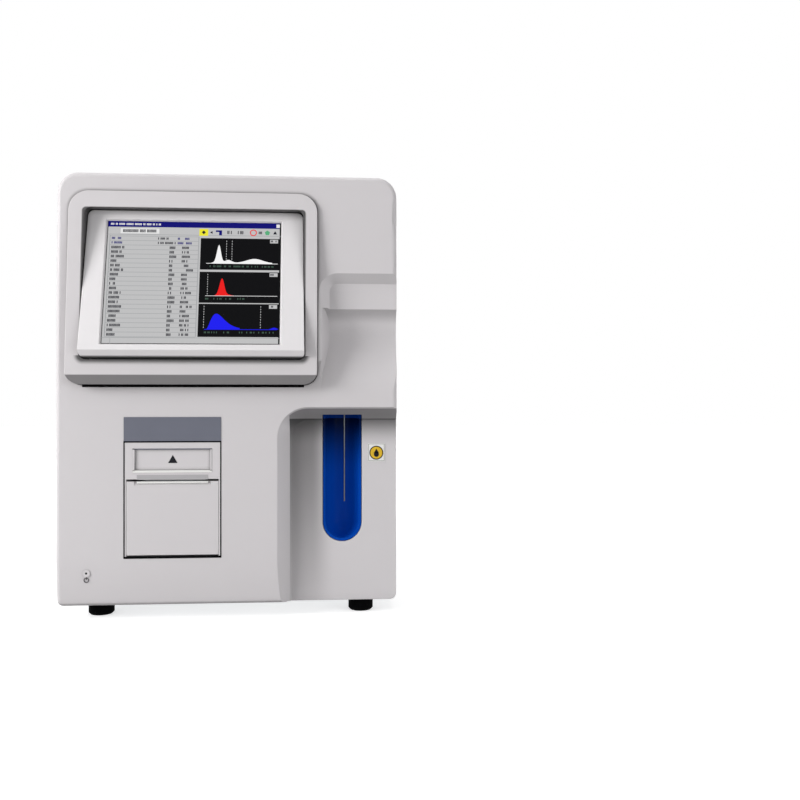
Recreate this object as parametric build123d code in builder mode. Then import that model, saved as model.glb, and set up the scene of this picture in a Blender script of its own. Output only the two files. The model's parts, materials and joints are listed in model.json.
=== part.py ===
from build123d import *
import math
import os

os.makedirs("parts", exist_ok=True)

# Benchtop hematology analyzer, in millimetres. +Z is up, the front faces -Y, and the
# origin is on the table under the middle of the instrument.

# Casing
CASE_W = 330.0
CASE_H = 421.5
BODY_D = 364.0
FOOT_H = 14.0
REAR_PROUD = 16.0
SKIN = 3.0
SHEET = 2.0
SEAM = 0.3
COVER_D = 62.0
TOP_R = 20.0
LOW_R = 6.0
EDGE_R = 4.5
TOP_COVER_H = 43.5

# Curve of the front, seen from the side
BELLY_LOW = 60.0
BELLY_HIGH = 225.0
LOW_BACK = 4.0
TOP_BACK = 5.0

# Stepped shoulder and cove on the right of the screen
STEP_X = 98.5
STEP_TOP = 329.5
STEP_LIP = 305.0
STEP_BACK = 7.0
STEP_SLOPE = 60.0
STEP_R = 8.0
STEP_FOOT = 20.0
COVE_FOOT = 222.0
COVE_DEEP_Z = 282.0
COVE_BACK = 17.0
COVE_END = 8.5

# Sample recess at the lower right
RECESS_X = 60.5
RECESS_TOP = 193.9
RECESS_BACK = 14.0
RECESS_SLOPE = 43.0
RECESS_R = 17.0

# Screen surround and bezel
POD_X0 = -152.5
POD_X1 = 86.5
POD_Z0 = 229.0
POD_Z1 = 417.0
POD_BEVEL = 9.0
POD_TOP_BACK = 2.2
POD_PROUD = 13.4
POD_DEPTH = 16.0
POD_TOP_R = 19.0
POD_LOW_R = 13.0
POD_GAP = 0.5
FLANGE_IN = 12.0
FLANGE_T = 2.0
FLANGE_W = 3.0
EAR_X = (-100.0, 40.0)
EAR_OUT = 6.5
EAR_RING = 5.0
BOSS_R = 3.5
PILOT_R = 1.25
PILOT_D = 3.5
BEZEL_Z0 = 261.6
BEZEL_Z1 = 400.0
BEZEL_MID = -32.3
BEZEL_HALF_TOP = 104.3
BEZEL_HALF_LOW = 106.7
BEZEL_TOP_BACK = 12.0
BEZEL_PROUD = 19.0
BEZEL_CHIN = 8.0
BEZEL_T = 14.0
BEZEL_R = 6.0
BEZEL_GAP = 0.8
LCD_W = 168.5
LCD_H = 125.0
LCD_X = -1.4
LCD_Y = -1.9
LCD_LIP = 2.5
LCD_PANEL = (176.0, 131.0, 5.0)
LCD_MODULE = (180.0, 135.0, 9.0)
LCD_FIT = 0.3
LCD_RIM = 9.0
LCD_SUNK = 1.5
LCD_CARD = (92.0, 58.0, 5.0)

# Printer in the front
PRINTER_W = 93.0
PRINTER_X = -53.6
PRINTER_Z0 = 60.5
PRINTER_Z1 = 173.4
PRINTER_GAP = 0.3
PRINTER_WALL = 1.9
PRINTER_D = 68.0
DOOR_GAP = 0.3
DOOR_T = 3.0
DOOR_SILL = 2.6
PAPER_SLOT_Z = 136.0
PAPER_SLOT = 2.0
HINGE_UP = 3.8
HINGE_IN = 2.5
HINGE_PIN_R = 1.25
PLATEN_R = 5.0
PLATEN_L = 58.0
PLATEN_Z = 128.0
PLATEN_IN = 9.0
PLATEN_SHAFT_R = 2.0
LATCH_W = 73.1
LATCH_H = 20.6
LATCH_Z = 155.9
LATCH_SUNK = 1.2
LATCH_T = 3.0
LATCH_TRAVEL = 2.0

# Power light
LED_X = -135.6
LED_Z = 46.6
LED_R = 2.4

# Blue start paddle and sample probe
TROUGH_X = 111.0
TROUGH_R = 19.6
TROUGH_Z0 = 72.6
TROUGH_TOP = 203.0
TROUGH_STRAIGHT = 8.0
TROUGH_WALL = 2.2
TROUGH_GAP = 0.6
NOTCH_TOP = 199.5
PADDLE_PIVOT_Z = 208.0
PADDLE_PIVOT_IN = 10.0
PADDLE_PIN_R = 2.0
PROBE_X = 113.3
PROBE_IN = 29.0
PROBE_R = 0.8
PROBE_TIP = 111.0
PROBE_TRAVEL = 86.0
RUN_FIT = 0.05

# Frame of the sampling unit
FRAME_IN = 68.0
SHELF_Z = 206.0
UPPER_SHELF_Z = 346.0
ROD_SPREAD = 15.3
ROD_R = 3.0
ROD_IN = 56.0
CARRIAGE_Z = 227.0
CARRIAGE_H = 16.0
CARRIAGE_W = 44.0

# Service door on the right, with its tail rounded about the hinge
HINGE_X_IN = 6.0
HINGE_Y_IN = 19.0
HINGE_R = 2.0
TAIL_GAP = 0.5
PULL_Z = 205.0
PULL_H = 70.0
PULL_W = 18.0
PULL_IN = 8.0
PULL_DEEP = 8.0
PULL_WALL = 1.5

# Air slots
VENT_L = 42.0
VENT_W = 3.0
VENT_STEP = 9.0
VENT_ROWS = 7
VENT_Z = 90.0
VENT_SPREAD = 60.0

# Chassis
WALL_X = 42.0
BASE_FRONT = 18.0
WALL_FOOT = 12.0
WIRE_WINDOW = (30.0, 60.0, 6.0)
WIRE_WINDOW_Z = 380.0
FEET_X = 130.0
FEET_FRONT_IN = 35.0
FEET_REAR_IN = 40.0
FOOT_R = 12.5

# Cooling fan in the rear panel
FAN = 80.0
FAN_X = -105.0
FAN_Z = 340.0
FAN_T = 25.0
FAN_BORE_R = 37.5
FAN_BLADES = 7

# Levels and planes worked out from the sizes above
FRONT_PROUD = BEZEL_PROUD
FRONT_Y = FRONT_PROUD - (BODY_D + FRONT_PROUD + REAR_PROUD) / 2
REAR_Y = FRONT_Y + BODY_D
SPLIT_Y = FRONT_Y + COVER_D
HALF_W = CASE_W / 2
BASE_Z = FOOT_H
TOP_Z = BASE_Z + CASE_H
TOP_COVER_Z = TOP_Z - TOP_COVER_H
INNER_X = HALF_W - SKIN

# How far a cutting block runs past the skin that it cuts
OVER = 1.0
PAST = 60.0


def front(y):
    """Upright plane facing the user: sketches on it are in x and z."""
    return Plane(origin=(0, y, 0), x_dir=(1, 0, 0), z_dir=(0, -1, 0))


def side(x):
    """Upright plane facing +X: sketches on it are in y and z."""
    return Plane(origin=(x, 0, 0), x_dir=(0, 1, 0), z_dir=(1, 0, 0))


def level(z):
    """Flat plane facing up: sketches on it are in x and y."""
    return Plane.XY.offset(z)


def area(u0, u1, v0, v1, mode=Mode.ADD):
    """Rectangle between two corners of the sketch in hand."""
    with Locations(((u0 + u1) / 2, (v0 + v1) / 2)):
        Rectangle(u1 - u0, v1 - v0, mode=mode)


def slab(x0, x1, y0, y1, z0, z1, mode=Mode.ADD):
    """Block between two corners of the part in hand."""
    with BuildSketch(level(z0)) as base:
        area(x0, x1, y0, y1)
    extrude(base.sketch, amount=z1 - z0, mode=mode)


def rod_up(x, y, z0, z1, radius, mode=Mode.ADD):
    """Upright round bar, or a bore when it is taken away."""
    with BuildSketch(level(z0)) as base:
        with Locations((x, y)):
            Circle(radius)
    extrude(base.sketch, amount=z1 - z0, mode=mode)


def rod_across(x0, x1, y, z, radius, mode=Mode.ADD):
    """Round bar along X, or a bore when it is taken away."""
    with BuildSketch(side(x0)) as base:
        with Locations((y, z)):
            Circle(radius)
    extrude(base.sketch, amount=x1 - x0, mode=mode)


def rod_back(x, z, y0, y1, radius, mode=Mode.ADD):
    """Round bar running back from y0 to y1, or a bore when it is taken away."""
    with BuildSketch(front(y0)) as base:
        with Locations((x, z)):
            Circle(radius)
    extrude(base.sketch, amount=y0 - y1, mode=mode)


# Front cover: one moulding whose belly, shoulder, cove and recess share one wall


def cover_body(inset, rear_y):
    """The plain form of the front moulding, inset from its outer skin."""
    with BuildPart() as body:
        with BuildSketch(side(0)):
            with BuildLine():
                low = (FRONT_Y + LOW_BACK + inset, BASE_Z + inset)
                high = (FRONT_Y + TOP_BACK + inset, TOP_Z - inset)
                belly_low = (FRONT_Y + inset, BELLY_LOW)
                belly_high = (FRONT_Y + inset, BELLY_HIGH)
                TangentArc(belly_low, low, tangent=(0, -1))
                Line(belly_low, belly_high)
                TangentArc(belly_high, high, tangent=(0, 1))
                Polyline(high, (rear_y, TOP_Z - inset), (rear_y, BASE_Z + inset), low)
            make_face()
        extrude(amount=HALF_W - inset, both=True)
        fillet(body.edges().filter_by(Axis.Y).group_by(Axis.Z)[-1], TOP_R - inset)
        fillet(body.edges().filter_by(Axis.Y).group_by(Axis.Z)[0], LOW_R - inset)
    return body.part


def recess_cutter(grow):
    """Space of the sample recess, with its bevelled wall and ceiling, grown by a wall."""
    slope = math.radians(RECESS_SLOPE)
    shift = grow / math.cos(slope) - grow * math.tan(slope)
    with BuildPart() as cutter:
        with BuildSketch(front(FRONT_Y + RECESS_BACK + grow)) as outline:
            area(RECESS_X - shift, HALF_W + PAST, BASE_Z - PAST, RECESS_TOP + shift)
            fillet(outline.vertices().group_by(Axis.Y)[-1].sort_by(Axis.X)[0], RECESS_R)
        extrude(amount=RECESS_BACK + grow + EDGE_R, taper=-RECESS_SLOPE)
    return cutter.part


def shoulder_cutter(grow):
    """Space in front of the lower shoulder, with its sloped band, grown by a wall."""
    slope = math.radians(STEP_SLOPE)
    shift = grow / math.cos(slope) - grow * math.tan(slope)
    foot = COVE_DEEP_Z - STEP_FOOT
    with BuildPart() as cutter:
        with BuildSketch(front(FRONT_Y + STEP_BACK + grow)) as outline:
            area(STEP_X - shift, HALF_W + PAST, foot, STEP_TOP + shift)
            fillet(outline.vertices().group_by(Axis.Y)[-1].sort_by(Axis.X)[0], STEP_R)
        extrude(amount=STEP_BACK + grow + 2, taper=-STEP_SLOPE)
    return cutter.part


def cove_cutter(grow):
    """Space of the cove that sweeps forward from under the shoulder, grown by a wall."""
    face = FRONT_Y + grow
    with BuildPart() as cutter:
        with BuildSketch(side(POD_X1 - 5)):
            with BuildLine():
                foot = (face, COVE_FOOT)
                deep = (face + COVE_BACK, COVE_DEEP_Z)
                lip = (face + STEP_BACK - 1, STEP_LIP + grow)
                Spline([foot, deep], tangents=[(0, 1), (0, 1)])
                TangentArc(deep, lip, tangent=(0, 1))
                Polyline(lip, (face - PAST, STEP_LIP + grow), (face - PAST, COVE_FOOT), foot)
            make_face()
        extrude(amount=HALF_W - POD_X1 + PAST)
        run = math.hypot(COVE_END, COVE_BACK)
        normal = (COVE_BACK / run, -COVE_END / run, 0)
        wall = (STEP_X - COVE_END - grow, FRONT_Y, 0)
        split(bisect_by=Plane(origin=wall, z_dir=normal), keep=Keep.TOP)
    return cutter.part


def pod_outline(grow):
    """Rounded outline of the screen surround, in x and z."""
    with BuildSketch() as outline:
        area(POD_X0 - grow, POD_X1 + grow, POD_Z0 - grow, POD_Z1 + grow)
        fillet(outline.vertices().group_by(Axis.Y)[-1], POD_TOP_R + grow)
        fillet(outline.vertices().group_by(Axis.Y)[0], POD_LOW_R + grow)
    return outline.sketch


with BuildPart() as cover_outside:
    add(cover_body(0, SPLIT_Y))
    rim = cover_outside.edges().filter_by(
        lambda e: e.bounding_box().max.Y < FRONT_Y + TOP_BACK + TOP_R
        and not BASE_Z + 1 < e.center().Z < BELLY_HIGH + 1
        or abs(e.center().X) > HALF_W - 1
        and e.bounding_box().max.Y < FRONT_Y + TOP_BACK + TOP_R
    )
    fillet(rim, EDGE_R)
    add(recess_cutter(0), mode=Mode.SUBTRACT)
    add(shoulder_cutter(0), mode=Mode.SUBTRACT)
    add(cove_cutter(0), mode=Mode.SUBTRACT)

with BuildPart() as cover_inside:
    add(cover_body(SKIN, SPLIT_Y + SKIN))
    add(recess_cutter(SKIN), mode=Mode.SUBTRACT)
    add(shoulder_cutter(SKIN), mode=Mode.SUBTRACT)
    add(cove_cutter(SKIN), mode=Mode.SUBTRACT)

with BuildPart() as front_cover:
    add(cover_outside.part)
    add(cover_inside.part, mode=Mode.SUBTRACT)
    # the floor of the moulding stops at a lip, and the base plate runs in behind it
    slab(
        -INNER_X, INNER_X, FRONT_Y + BASE_FRONT - SEAM, SPLIT_Y + SKIN,
        BASE_Z - 1, BASE_Z + SKIN + 1, mode=Mode.SUBTRACT,
    )
    # opening for the screen surround
    with BuildSketch(front(FRONT_Y - FRONT_PROUD)):
        add(pod_outline(POD_GAP))
    extrude(amount=-FRONT_PROUD - TOP_BACK - 4 * SKIN, mode=Mode.SUBTRACT)
    # opening for the printer
    half = PRINTER_W / 2
    slab(
        PRINTER_X - half, PRINTER_X + half, FRONT_Y - SKIN, FRONT_Y + 3 * SKIN,
        PRINTER_Z0, PRINTER_Z1, mode=Mode.SUBTRACT,
    )
    # rounded notch for the start paddle, open into the ceiling of the recess
    with BuildSketch(front(FRONT_Y + RECESS_BACK - 8 * SKIN)):
        area(TROUGH_X - TROUGH_R, TROUGH_X + TROUGH_R, TROUGH_Z0 + TROUGH_R, NOTCH_TOP)
        with Locations((TROUGH_X, TROUGH_Z0 + TROUGH_R)):
            Circle(TROUGH_R)
    extrude(amount=-10 * SKIN, mode=Mode.SUBTRACT)
    # hole for the power light
    rod_back(LED_X, LED_Z, FRONT_Y - SKIN, FRONT_Y + 4 * SKIN, LED_R + RUN_FIT, Mode.SUBTRACT)
    # screw bosses behind the skin for the ears of the screen surround
    for x in EAR_X:
        for z, wall_in in ((POD_Z1 + EAR_OUT, TOP_BACK + SKIN / 2), (POD_Z0 - EAR_OUT, SKIN / 2)):
            rod_back(x, z, FRONT_Y + wall_in, FRONT_Y + FLANGE_IN, BOSS_R)
            rod_back(
                x, z, FRONT_Y + FLANGE_IN - PILOT_D, FRONT_Y + FLANGE_IN + OVER, PILOT_R,
                Mode.SUBTRACT,
            )
front_cover.part.label = "front_cover"
export_step(front_cover.part, "parts/front_cover.step")


# Screen surround: a raised frame with a sloped face, hollow behind


def pod_side(inset):
    """Side outline of the surround, its face moved back by the inset."""
    top = (FRONT_Y + POD_TOP_BACK + inset, POD_Z1 + 1)
    low = (FRONT_Y - POD_PROUD + inset, POD_Z0 + POD_BEVEL)
    chin = (FRONT_Y - POD_PROUD + POD_BEVEL * 0.6 + inset, POD_Z0 - 1)
    rear = FRONT_Y + POD_DEPTH
    with BuildSketch() as outline:
        with BuildLine():
            Polyline(top, low, chin, (rear, POD_Z0 - 1), (rear, POD_Z1 + 1), close=True)
        make_face()
    return outline.sketch


def bezel_outline(grow):
    """Front view of the screen bezel: a frame slightly wider at its foot."""
    low = BEZEL_Z0 - BEZEL_CHIN - grow
    high = BEZEL_Z1 + grow
    with BuildSketch() as outline:
        with BuildLine():
            Polyline(
                (BEZEL_MID - BEZEL_HALF_TOP - grow, high),
                (BEZEL_MID + BEZEL_HALF_TOP + grow, high),
                (BEZEL_MID + BEZEL_HALF_LOW + grow, low),
                (BEZEL_MID - BEZEL_HALF_LOW - grow, low),
                close=True,
            )
        make_face()
        fillet(outline.vertices(), BEZEL_R + grow)
    return outline.sketch


with BuildPart() as pod_hollow:
    with BuildSketch(side(0)):
        add(pod_side(SKIN))
    extrude(amount=HALF_W, both=True)
    with BuildSketch(front(FRONT_Y - FRONT_PROUD)):
        add(pod_outline(-SKIN))
        add(bezel_outline(BEZEL_GAP + SKIN), mode=Mode.SUBTRACT)
    extrude(amount=-FRONT_PROUD - POD_DEPTH - SKIN, mode=Mode.INTERSECT)

with BuildPart() as screen_surround:
    with BuildSketch(side(0)):
        add(pod_side(0))
    extrude(amount=HALF_W, both=True)
    with BuildSketch(front(FRONT_Y - FRONT_PROUD)):
        add(pod_outline(0))
    extrude(amount=-FRONT_PROUD - POD_DEPTH - SKIN, mode=Mode.INTERSECT)
    add(pod_hollow.part, mode=Mode.SUBTRACT)
    # flange behind the cover, with an ear at each screw boss
    with BuildSketch(front(FRONT_Y + FLANGE_IN)) as flange:
        add(pod_outline(FLANGE_W))
        for x in EAR_X:
            for z in (POD_Z1 + EAR_OUT, POD_Z0 - EAR_OUT):
                with Locations((x, z)):
                    Circle(EAR_RING)
                area(x - EAR_RING, x + EAR_RING, min(z, POD_Z0), max(z, POD_Z0))
        add(pod_outline(-SKIN), mode=Mode.SUBTRACT)
        for x in EAR_X:
            for z in (POD_Z1 + EAR_OUT, POD_Z0 - EAR_OUT):
                with Locations((x, z)):
                    Circle(PILOT_R, mode=Mode.SUBTRACT)
    extrude(flange.sketch, amount=-FLANGE_T)
    with BuildSketch(front(FRONT_Y - FRONT_PROUD - SKIN)):
        add(bezel_outline(BEZEL_GAP))
    extrude(amount=-FRONT_PROUD - POD_DEPTH - 2 * SKIN, mode=Mode.SUBTRACT)
screen_surround.part.label = "screen_surround"
export_step(screen_surround.part, "parts/screen_surround.step")

# Screen bezel: tilted back, sunk at the top and proud at the foot, with an undercut chin
bezel_tilt = math.atan2(BEZEL_TOP_BACK + BEZEL_PROUD, BEZEL_Z1 - BEZEL_Z0)
bezel_centre = (
    BEZEL_MID,
    FRONT_Y + (BEZEL_TOP_BACK - BEZEL_PROUD) / 2,
    (BEZEL_Z0 + BEZEL_Z1) / 2,
)
screen_plane = Plane(
    origin=bezel_centre,
    x_dir=(1, 0, 0),
    z_dir=(0, -math.cos(bezel_tilt), math.sin(bezel_tilt)),
)

with BuildPart() as screen_bezel:
    with BuildSketch(side(0)):
        with BuildLine():
            back = BEZEL_T / math.cos(bezel_tilt)
            Polyline(
                (FRONT_Y + BEZEL_TOP_BACK, BEZEL_Z1),
                (FRONT_Y - BEZEL_PROUD, BEZEL_Z0),
                (FRONT_Y - BEZEL_PROUD + BEZEL_CHIN, BEZEL_Z0 - BEZEL_CHIN),
                (FRONT_Y - BEZEL_PROUD + back, BEZEL_Z0 - BEZEL_CHIN),
                (FRONT_Y + BEZEL_TOP_BACK + back, BEZEL_Z1),
                close=True,
            )
        make_face()
    extrude(amount=HALF_W, both=True)
    with BuildSketch(front(FRONT_Y - FRONT_PROUD - SKIN)):
        add(bezel_outline(0))
    extrude(amount=-FRONT_PROUD - SKIN - 2 * BEZEL_T - BEZEL_TOP_BACK, mode=Mode.INTERSECT)
    with BuildSketch(screen_plane.offset(-LCD_LIP)):
        with Locations((LCD_X, LCD_Y)):
            Rectangle(LCD_PANEL[0] + 2 * LCD_FIT, LCD_PANEL[1] + 2 * LCD_FIT)
    extrude(amount=-3 * BEZEL_T, mode=Mode.SUBTRACT)
    with BuildSketch(screen_plane.offset(-LCD_LIP - LCD_PANEL[2])):
        with Locations((LCD_X, LCD_Y)):
            Rectangle(LCD_MODULE[0] + 2 * LCD_FIT, LCD_MODULE[1] + 2 * LCD_FIT)
    extrude(amount=-3 * BEZEL_T, mode=Mode.SUBTRACT)
    with BuildSketch(screen_plane.offset(LCD_LIP)):
        with Locations((LCD_X, LCD_Y)):
            Rectangle(LCD_W + 2 * LCD_LIP, LCD_H + 2 * LCD_LIP)
    extrude(amount=-2 * LCD_LIP, taper=math.degrees(math.atan(0.5)), mode=Mode.SUBTRACT)
screen_bezel.part.label = "screen_bezel"
export_step(screen_bezel.part, "parts/screen_bezel.step")

with BuildPart() as lcd_panel:
    with BuildSketch(screen_plane.offset(-LCD_LIP)):
        with Locations((LCD_X, LCD_Y)):
            Rectangle(LCD_PANEL[0], LCD_PANEL[1])
    extrude(amount=-LCD_PANEL[2])
lcd_panel.part.label = "lcd_panel"
export_step(lcd_panel.part, "parts/lcd_panel.step")

with BuildPart() as lcd_module:
    with BuildSketch(screen_plane.offset(-LCD_LIP - LCD_PANEL[2])):
        with Locations((LCD_X, LCD_Y)):
            Rectangle(LCD_MODULE[0], LCD_MODULE[1])
    extrude(amount=-LCD_MODULE[2])
    # sunk middle of the metal back, with the control card in it
    with BuildSketch(screen_plane.offset(-LCD_LIP - LCD_PANEL[2] - LCD_MODULE[2])):
        with Locations((LCD_X, LCD_Y)):
            Rectangle(LCD_MODULE[0] - 2 * LCD_RIM, LCD_MODULE[1] - 2 * LCD_RIM)
    extrude(amount=LCD_SUNK, mode=Mode.SUBTRACT)
    with BuildSketch(screen_plane.offset(-LCD_LIP - LCD_PANEL[2] - LCD_MODULE[2] + LCD_SUNK)):
        with Locations((LCD_X - LCD_CARD[0] / 4, LCD_Y)):
            Rectangle(LCD_CARD[0], LCD_CARD[1])
    extrude(amount=-LCD_CARD[2])
lcd_module.part.label = "lcd_module"
export_step(lcd_module.part, "parts/lcd_module.step")

with BuildPart() as power_led:
    rod_back(LED_X, LED_Z, FRONT_Y + SEAM, FRONT_Y + 3 * SKIN, LED_R)
    rod_back(LED_X, LED_Z, FRONT_Y + 2.2 * SKIN, FRONT_Y + 3 * SKIN, LED_R + 1)
power_led.part.label = "power_led"
export_step(power_led.part, "parts/power_led.step")


# Printer: a framed bucket in the front with a drop-down door, platen and release button

print_x0 = PRINTER_X - PRINTER_W / 2 + PRINTER_GAP
print_x1 = PRINTER_X + PRINTER_W / 2 - PRINTER_GAP
print_z0 = PRINTER_Z0 + PRINTER_GAP
print_z1 = PRINTER_Z1 - PRINTER_GAP
sill_z = print_z0 + PRINTER_WALL - 0.8
door_z0 = PRINTER_Z0 + DOOR_SILL + DOOR_GAP
door_z1 = PAPER_SLOT_Z - PAPER_SLOT / 2
door_x0 = print_x0 + PRINTER_WALL + DOOR_GAP
door_x1 = print_x1 - PRINTER_WALL - DOOR_GAP
hinge_y = FRONT_Y + HINGE_IN
hinge_z = door_z0 + HINGE_UP
platen_y = FRONT_Y + PLATEN_IN
head_y = platen_y + PLATEN_R + SEAM
HEAD_T = 3.0
HEAD_Z0 = 119.0
BUCKET_FRONT = 8.0
BUCKET_Z0 = 66.0
LATCH_STEM_R = 2.5
LATCH_POCKET = 8.0
HEAD_BLOCK_D = 22.0
PIN_REACH = 5.0

with BuildPart() as printer_frame:
    slab(print_x0, print_x1, FRONT_Y, FRONT_Y + BUCKET_FRONT + PRINTER_WALL, print_z0, print_z1)
    slab(
        print_x0 + PRINTER_WALL, print_x1 - PRINTER_WALL, FRONT_Y - 1,
        FRONT_Y + BUCKET_FRONT + 2 * PRINTER_WALL, sill_z, PAPER_SLOT_Z + PAPER_SLOT / 2,
        mode=Mode.SUBTRACT,
    )
    # head block above the slot
    slab(
        print_x0, print_x1, FRONT_Y + BUCKET_FRONT, FRONT_Y + HEAD_BLOCK_D,
        PAPER_SLOT_Z + PAPER_SLOT / 2, print_z1,
    )
    # paper bucket with a round bottom edge at the back
    with BuildSketch(side(print_x0)) as bucket:
        area(FRONT_Y + BUCKET_FRONT, FRONT_Y + PRINTER_D, BUCKET_Z0, print_z1)
        fillet(bucket.vertices().group_by(Axis.X)[-1].sort_by(Axis.Y)[0], PRINTER_D / 2)
    extrude(amount=print_x1 - print_x0)
    with BuildSketch(side(print_x0 + PRINTER_WALL)) as hollow:
        area(
            FRONT_Y + BUCKET_FRONT - 1, FRONT_Y + PRINTER_D - PRINTER_WALL,
            BUCKET_Z0 + PRINTER_WALL, PAPER_SLOT_Z + PAPER_SLOT / 2,
        )
        fillet(
            hollow.vertices().group_by(Axis.X)[-1].sort_by(Axis.Y)[0],
            PRINTER_D / 2 - PRINTER_WALL,
        )
    extrude(amount=print_x1 - print_x0 - 2 * PRINTER_WALL, mode=Mode.SUBTRACT)
    # the back of the head block is open, as a moulding is
    slab(
        print_x0 + PRINTER_WALL, print_x1 - PRINTER_WALL, FRONT_Y + HEAD_BLOCK_D,
        FRONT_Y + PRINTER_D + 1, PAPER_SLOT_Z + PAPER_SLOT / 2 + PRINTER_WALL, print_z1 + 1,
        mode=Mode.SUBTRACT,
    )
    # recess for the release button, and the bore of its stem
    slab(
        PRINTER_X - LATCH_W / 2, PRINTER_X + LATCH_W / 2, FRONT_Y - 1, FRONT_Y + LATCH_POCKET,
        LATCH_Z - LATCH_H / 2, LATCH_Z + LATCH_H / 2, mode=Mode.SUBTRACT,
    )
    rod_back(
        PRINTER_X, LATCH_Z, FRONT_Y + LATCH_POCKET - 1, FRONT_Y + HEAD_BLOCK_D + 1,
        LATCH_STEM_R + RUN_FIT, Mode.SUBTRACT,
    )
    # holes for the door pins
    rod_across(
        print_x0 - 1, print_x1 + 1, hinge_y, hinge_z, HINGE_PIN_R, Mode.SUBTRACT,
    )
printer_frame.part.label = "printer_frame"
export_step(printer_frame.part, "parts/printer_frame.step")

PLATEN_LUG = 2.5
PLATEN_END = 0.6

with BuildPart() as printer_door:
    slab(door_x0, door_x1, FRONT_Y, FRONT_Y + DOOR_T, door_z0, door_z1)
    # hinge rail along the foot
    slab(door_x0, door_x1, FRONT_Y, FRONT_Y + 2 * HINGE_IN, door_z0, door_z0 + 2 * HINGE_UP)
    # bevelled lip of the paper slot
    with BuildSketch(side(PRINTER_X - LATCH_W / 2)):
        with BuildLine():
            Polyline(
                (FRONT_Y - 1, door_z1 - 4), (FRONT_Y, door_z1 - 4),
                (FRONT_Y + DOOR_T - 1, door_z1 + 1), (FRONT_Y - 1, door_z1 + 1), close=True,
            )
        make_face()
    extrude(amount=LATCH_W, mode=Mode.SUBTRACT)
    # lugs that carry the platen roller
    for sign in (-1, 1):
        inner = PRINTER_X + sign * (PLATEN_L / 2 + PLATEN_END)
        outer = inner + sign * PLATEN_LUG
        slab(
            min(inner, outer), max(inner, outer), FRONT_Y + 1, platen_y + PLATEN_R,
            PLATEN_Z - PLATEN_R, PLATEN_Z + PLATEN_R - 1,
        )
    rod_across(
        PRINTER_X - PLATEN_L, PRINTER_X + PLATEN_L, platen_y, PLATEN_Z,
        PLATEN_SHAFT_R + RUN_FIT, Mode.SUBTRACT,
    )
    rod_across(
        door_x0 - 1, door_x0 + PIN_REACH, hinge_y, hinge_z, HINGE_PIN_R + RUN_FIT, Mode.SUBTRACT,
    )
    rod_across(
        door_x1 - PIN_REACH, door_x1 + 1, hinge_y, hinge_z, HINGE_PIN_R + RUN_FIT, Mode.SUBTRACT,
    )
printer_door.part.label = "printer_door"
export_step(printer_door.part, "parts/printer_door.step")

with BuildPart() as printer_door_pins:
    rod_across(print_x0 + SEAM, door_x0 + PIN_REACH - SEAM, hinge_y, hinge_z, HINGE_PIN_R)
    rod_across(door_x1 - PIN_REACH + SEAM, print_x1 - SEAM, hinge_y, hinge_z, HINGE_PIN_R)
printer_door_pins.part.label = "printer_door_pins"
export_step(printer_door_pins.part, "parts/printer_door_pins.step")

with BuildPart() as platen_roller:
    shaft = PLATEN_L / 2 + PLATEN_END + PLATEN_LUG
    rod_across(PRINTER_X - PLATEN_L / 2, PRINTER_X + PLATEN_L / 2, platen_y, PLATEN_Z, PLATEN_R)
    rod_across(PRINTER_X - shaft, PRINTER_X + shaft, platen_y, PLATEN_Z, PLATEN_SHAFT_R)
platen_roller.part.label = "platen_roller"
export_step(platen_roller.part, "parts/platen_roller.step")

with BuildPart() as print_head:
    slab(
        PRINTER_X - PLATEN_L / 2, PRINTER_X + PLATEN_L / 2, head_y, head_y + HEAD_T,
        HEAD_Z0, PAPER_SLOT_Z + PAPER_SLOT / 2,
    )
print_head.part.label = "print_head"
export_step(print_head.part, "parts/print_head.step")

with BuildPart() as printer_latch:
    slab(
        PRINTER_X - LATCH_W / 2 + SEAM, PRINTER_X + LATCH_W / 2 - SEAM, FRONT_Y + LATCH_SUNK,
        FRONT_Y + LATCH_SUNK + LATCH_T, LATCH_Z - LATCH_H / 2 + SEAM,
        LATCH_Z + LATCH_H / 2 - SEAM,
    )
    rod_back(
        PRINTER_X, LATCH_Z, FRONT_Y + LATCH_SUNK + 1, FRONT_Y + HEAD_BLOCK_D - LATCH_TRAVEL - 1,
        LATCH_STEM_R,
    )
printer_latch.part.label = "printer_latch"
export_step(printer_latch.part, "parts/printer_latch.step")


# Sampling unit: blue start paddle, probe on a lead screw, wash block and their frame

recess_y = FRONT_Y + RECESS_BACK
trough_mid_y = recess_y + TROUGH_STRAIGHT
trough_round_z = TROUGH_Z0 + TROUGH_R
trough_out = TROUGH_R - TROUGH_GAP
trough_in = trough_out - TROUGH_WALL
pivot_y = recess_y + PADDLE_PIVOT_IN
probe_y = FRONT_Y + PROBE_IN
frame_y = FRONT_Y + FRAME_IN
rod_y = FRONT_Y + ROD_IN
EAR_T = 3.0
EAR_R = 5.0
CHEEK_T = 3.0
CHEEK_GAP = 3.0
cheek_in = trough_out + CHEEK_GAP

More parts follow.
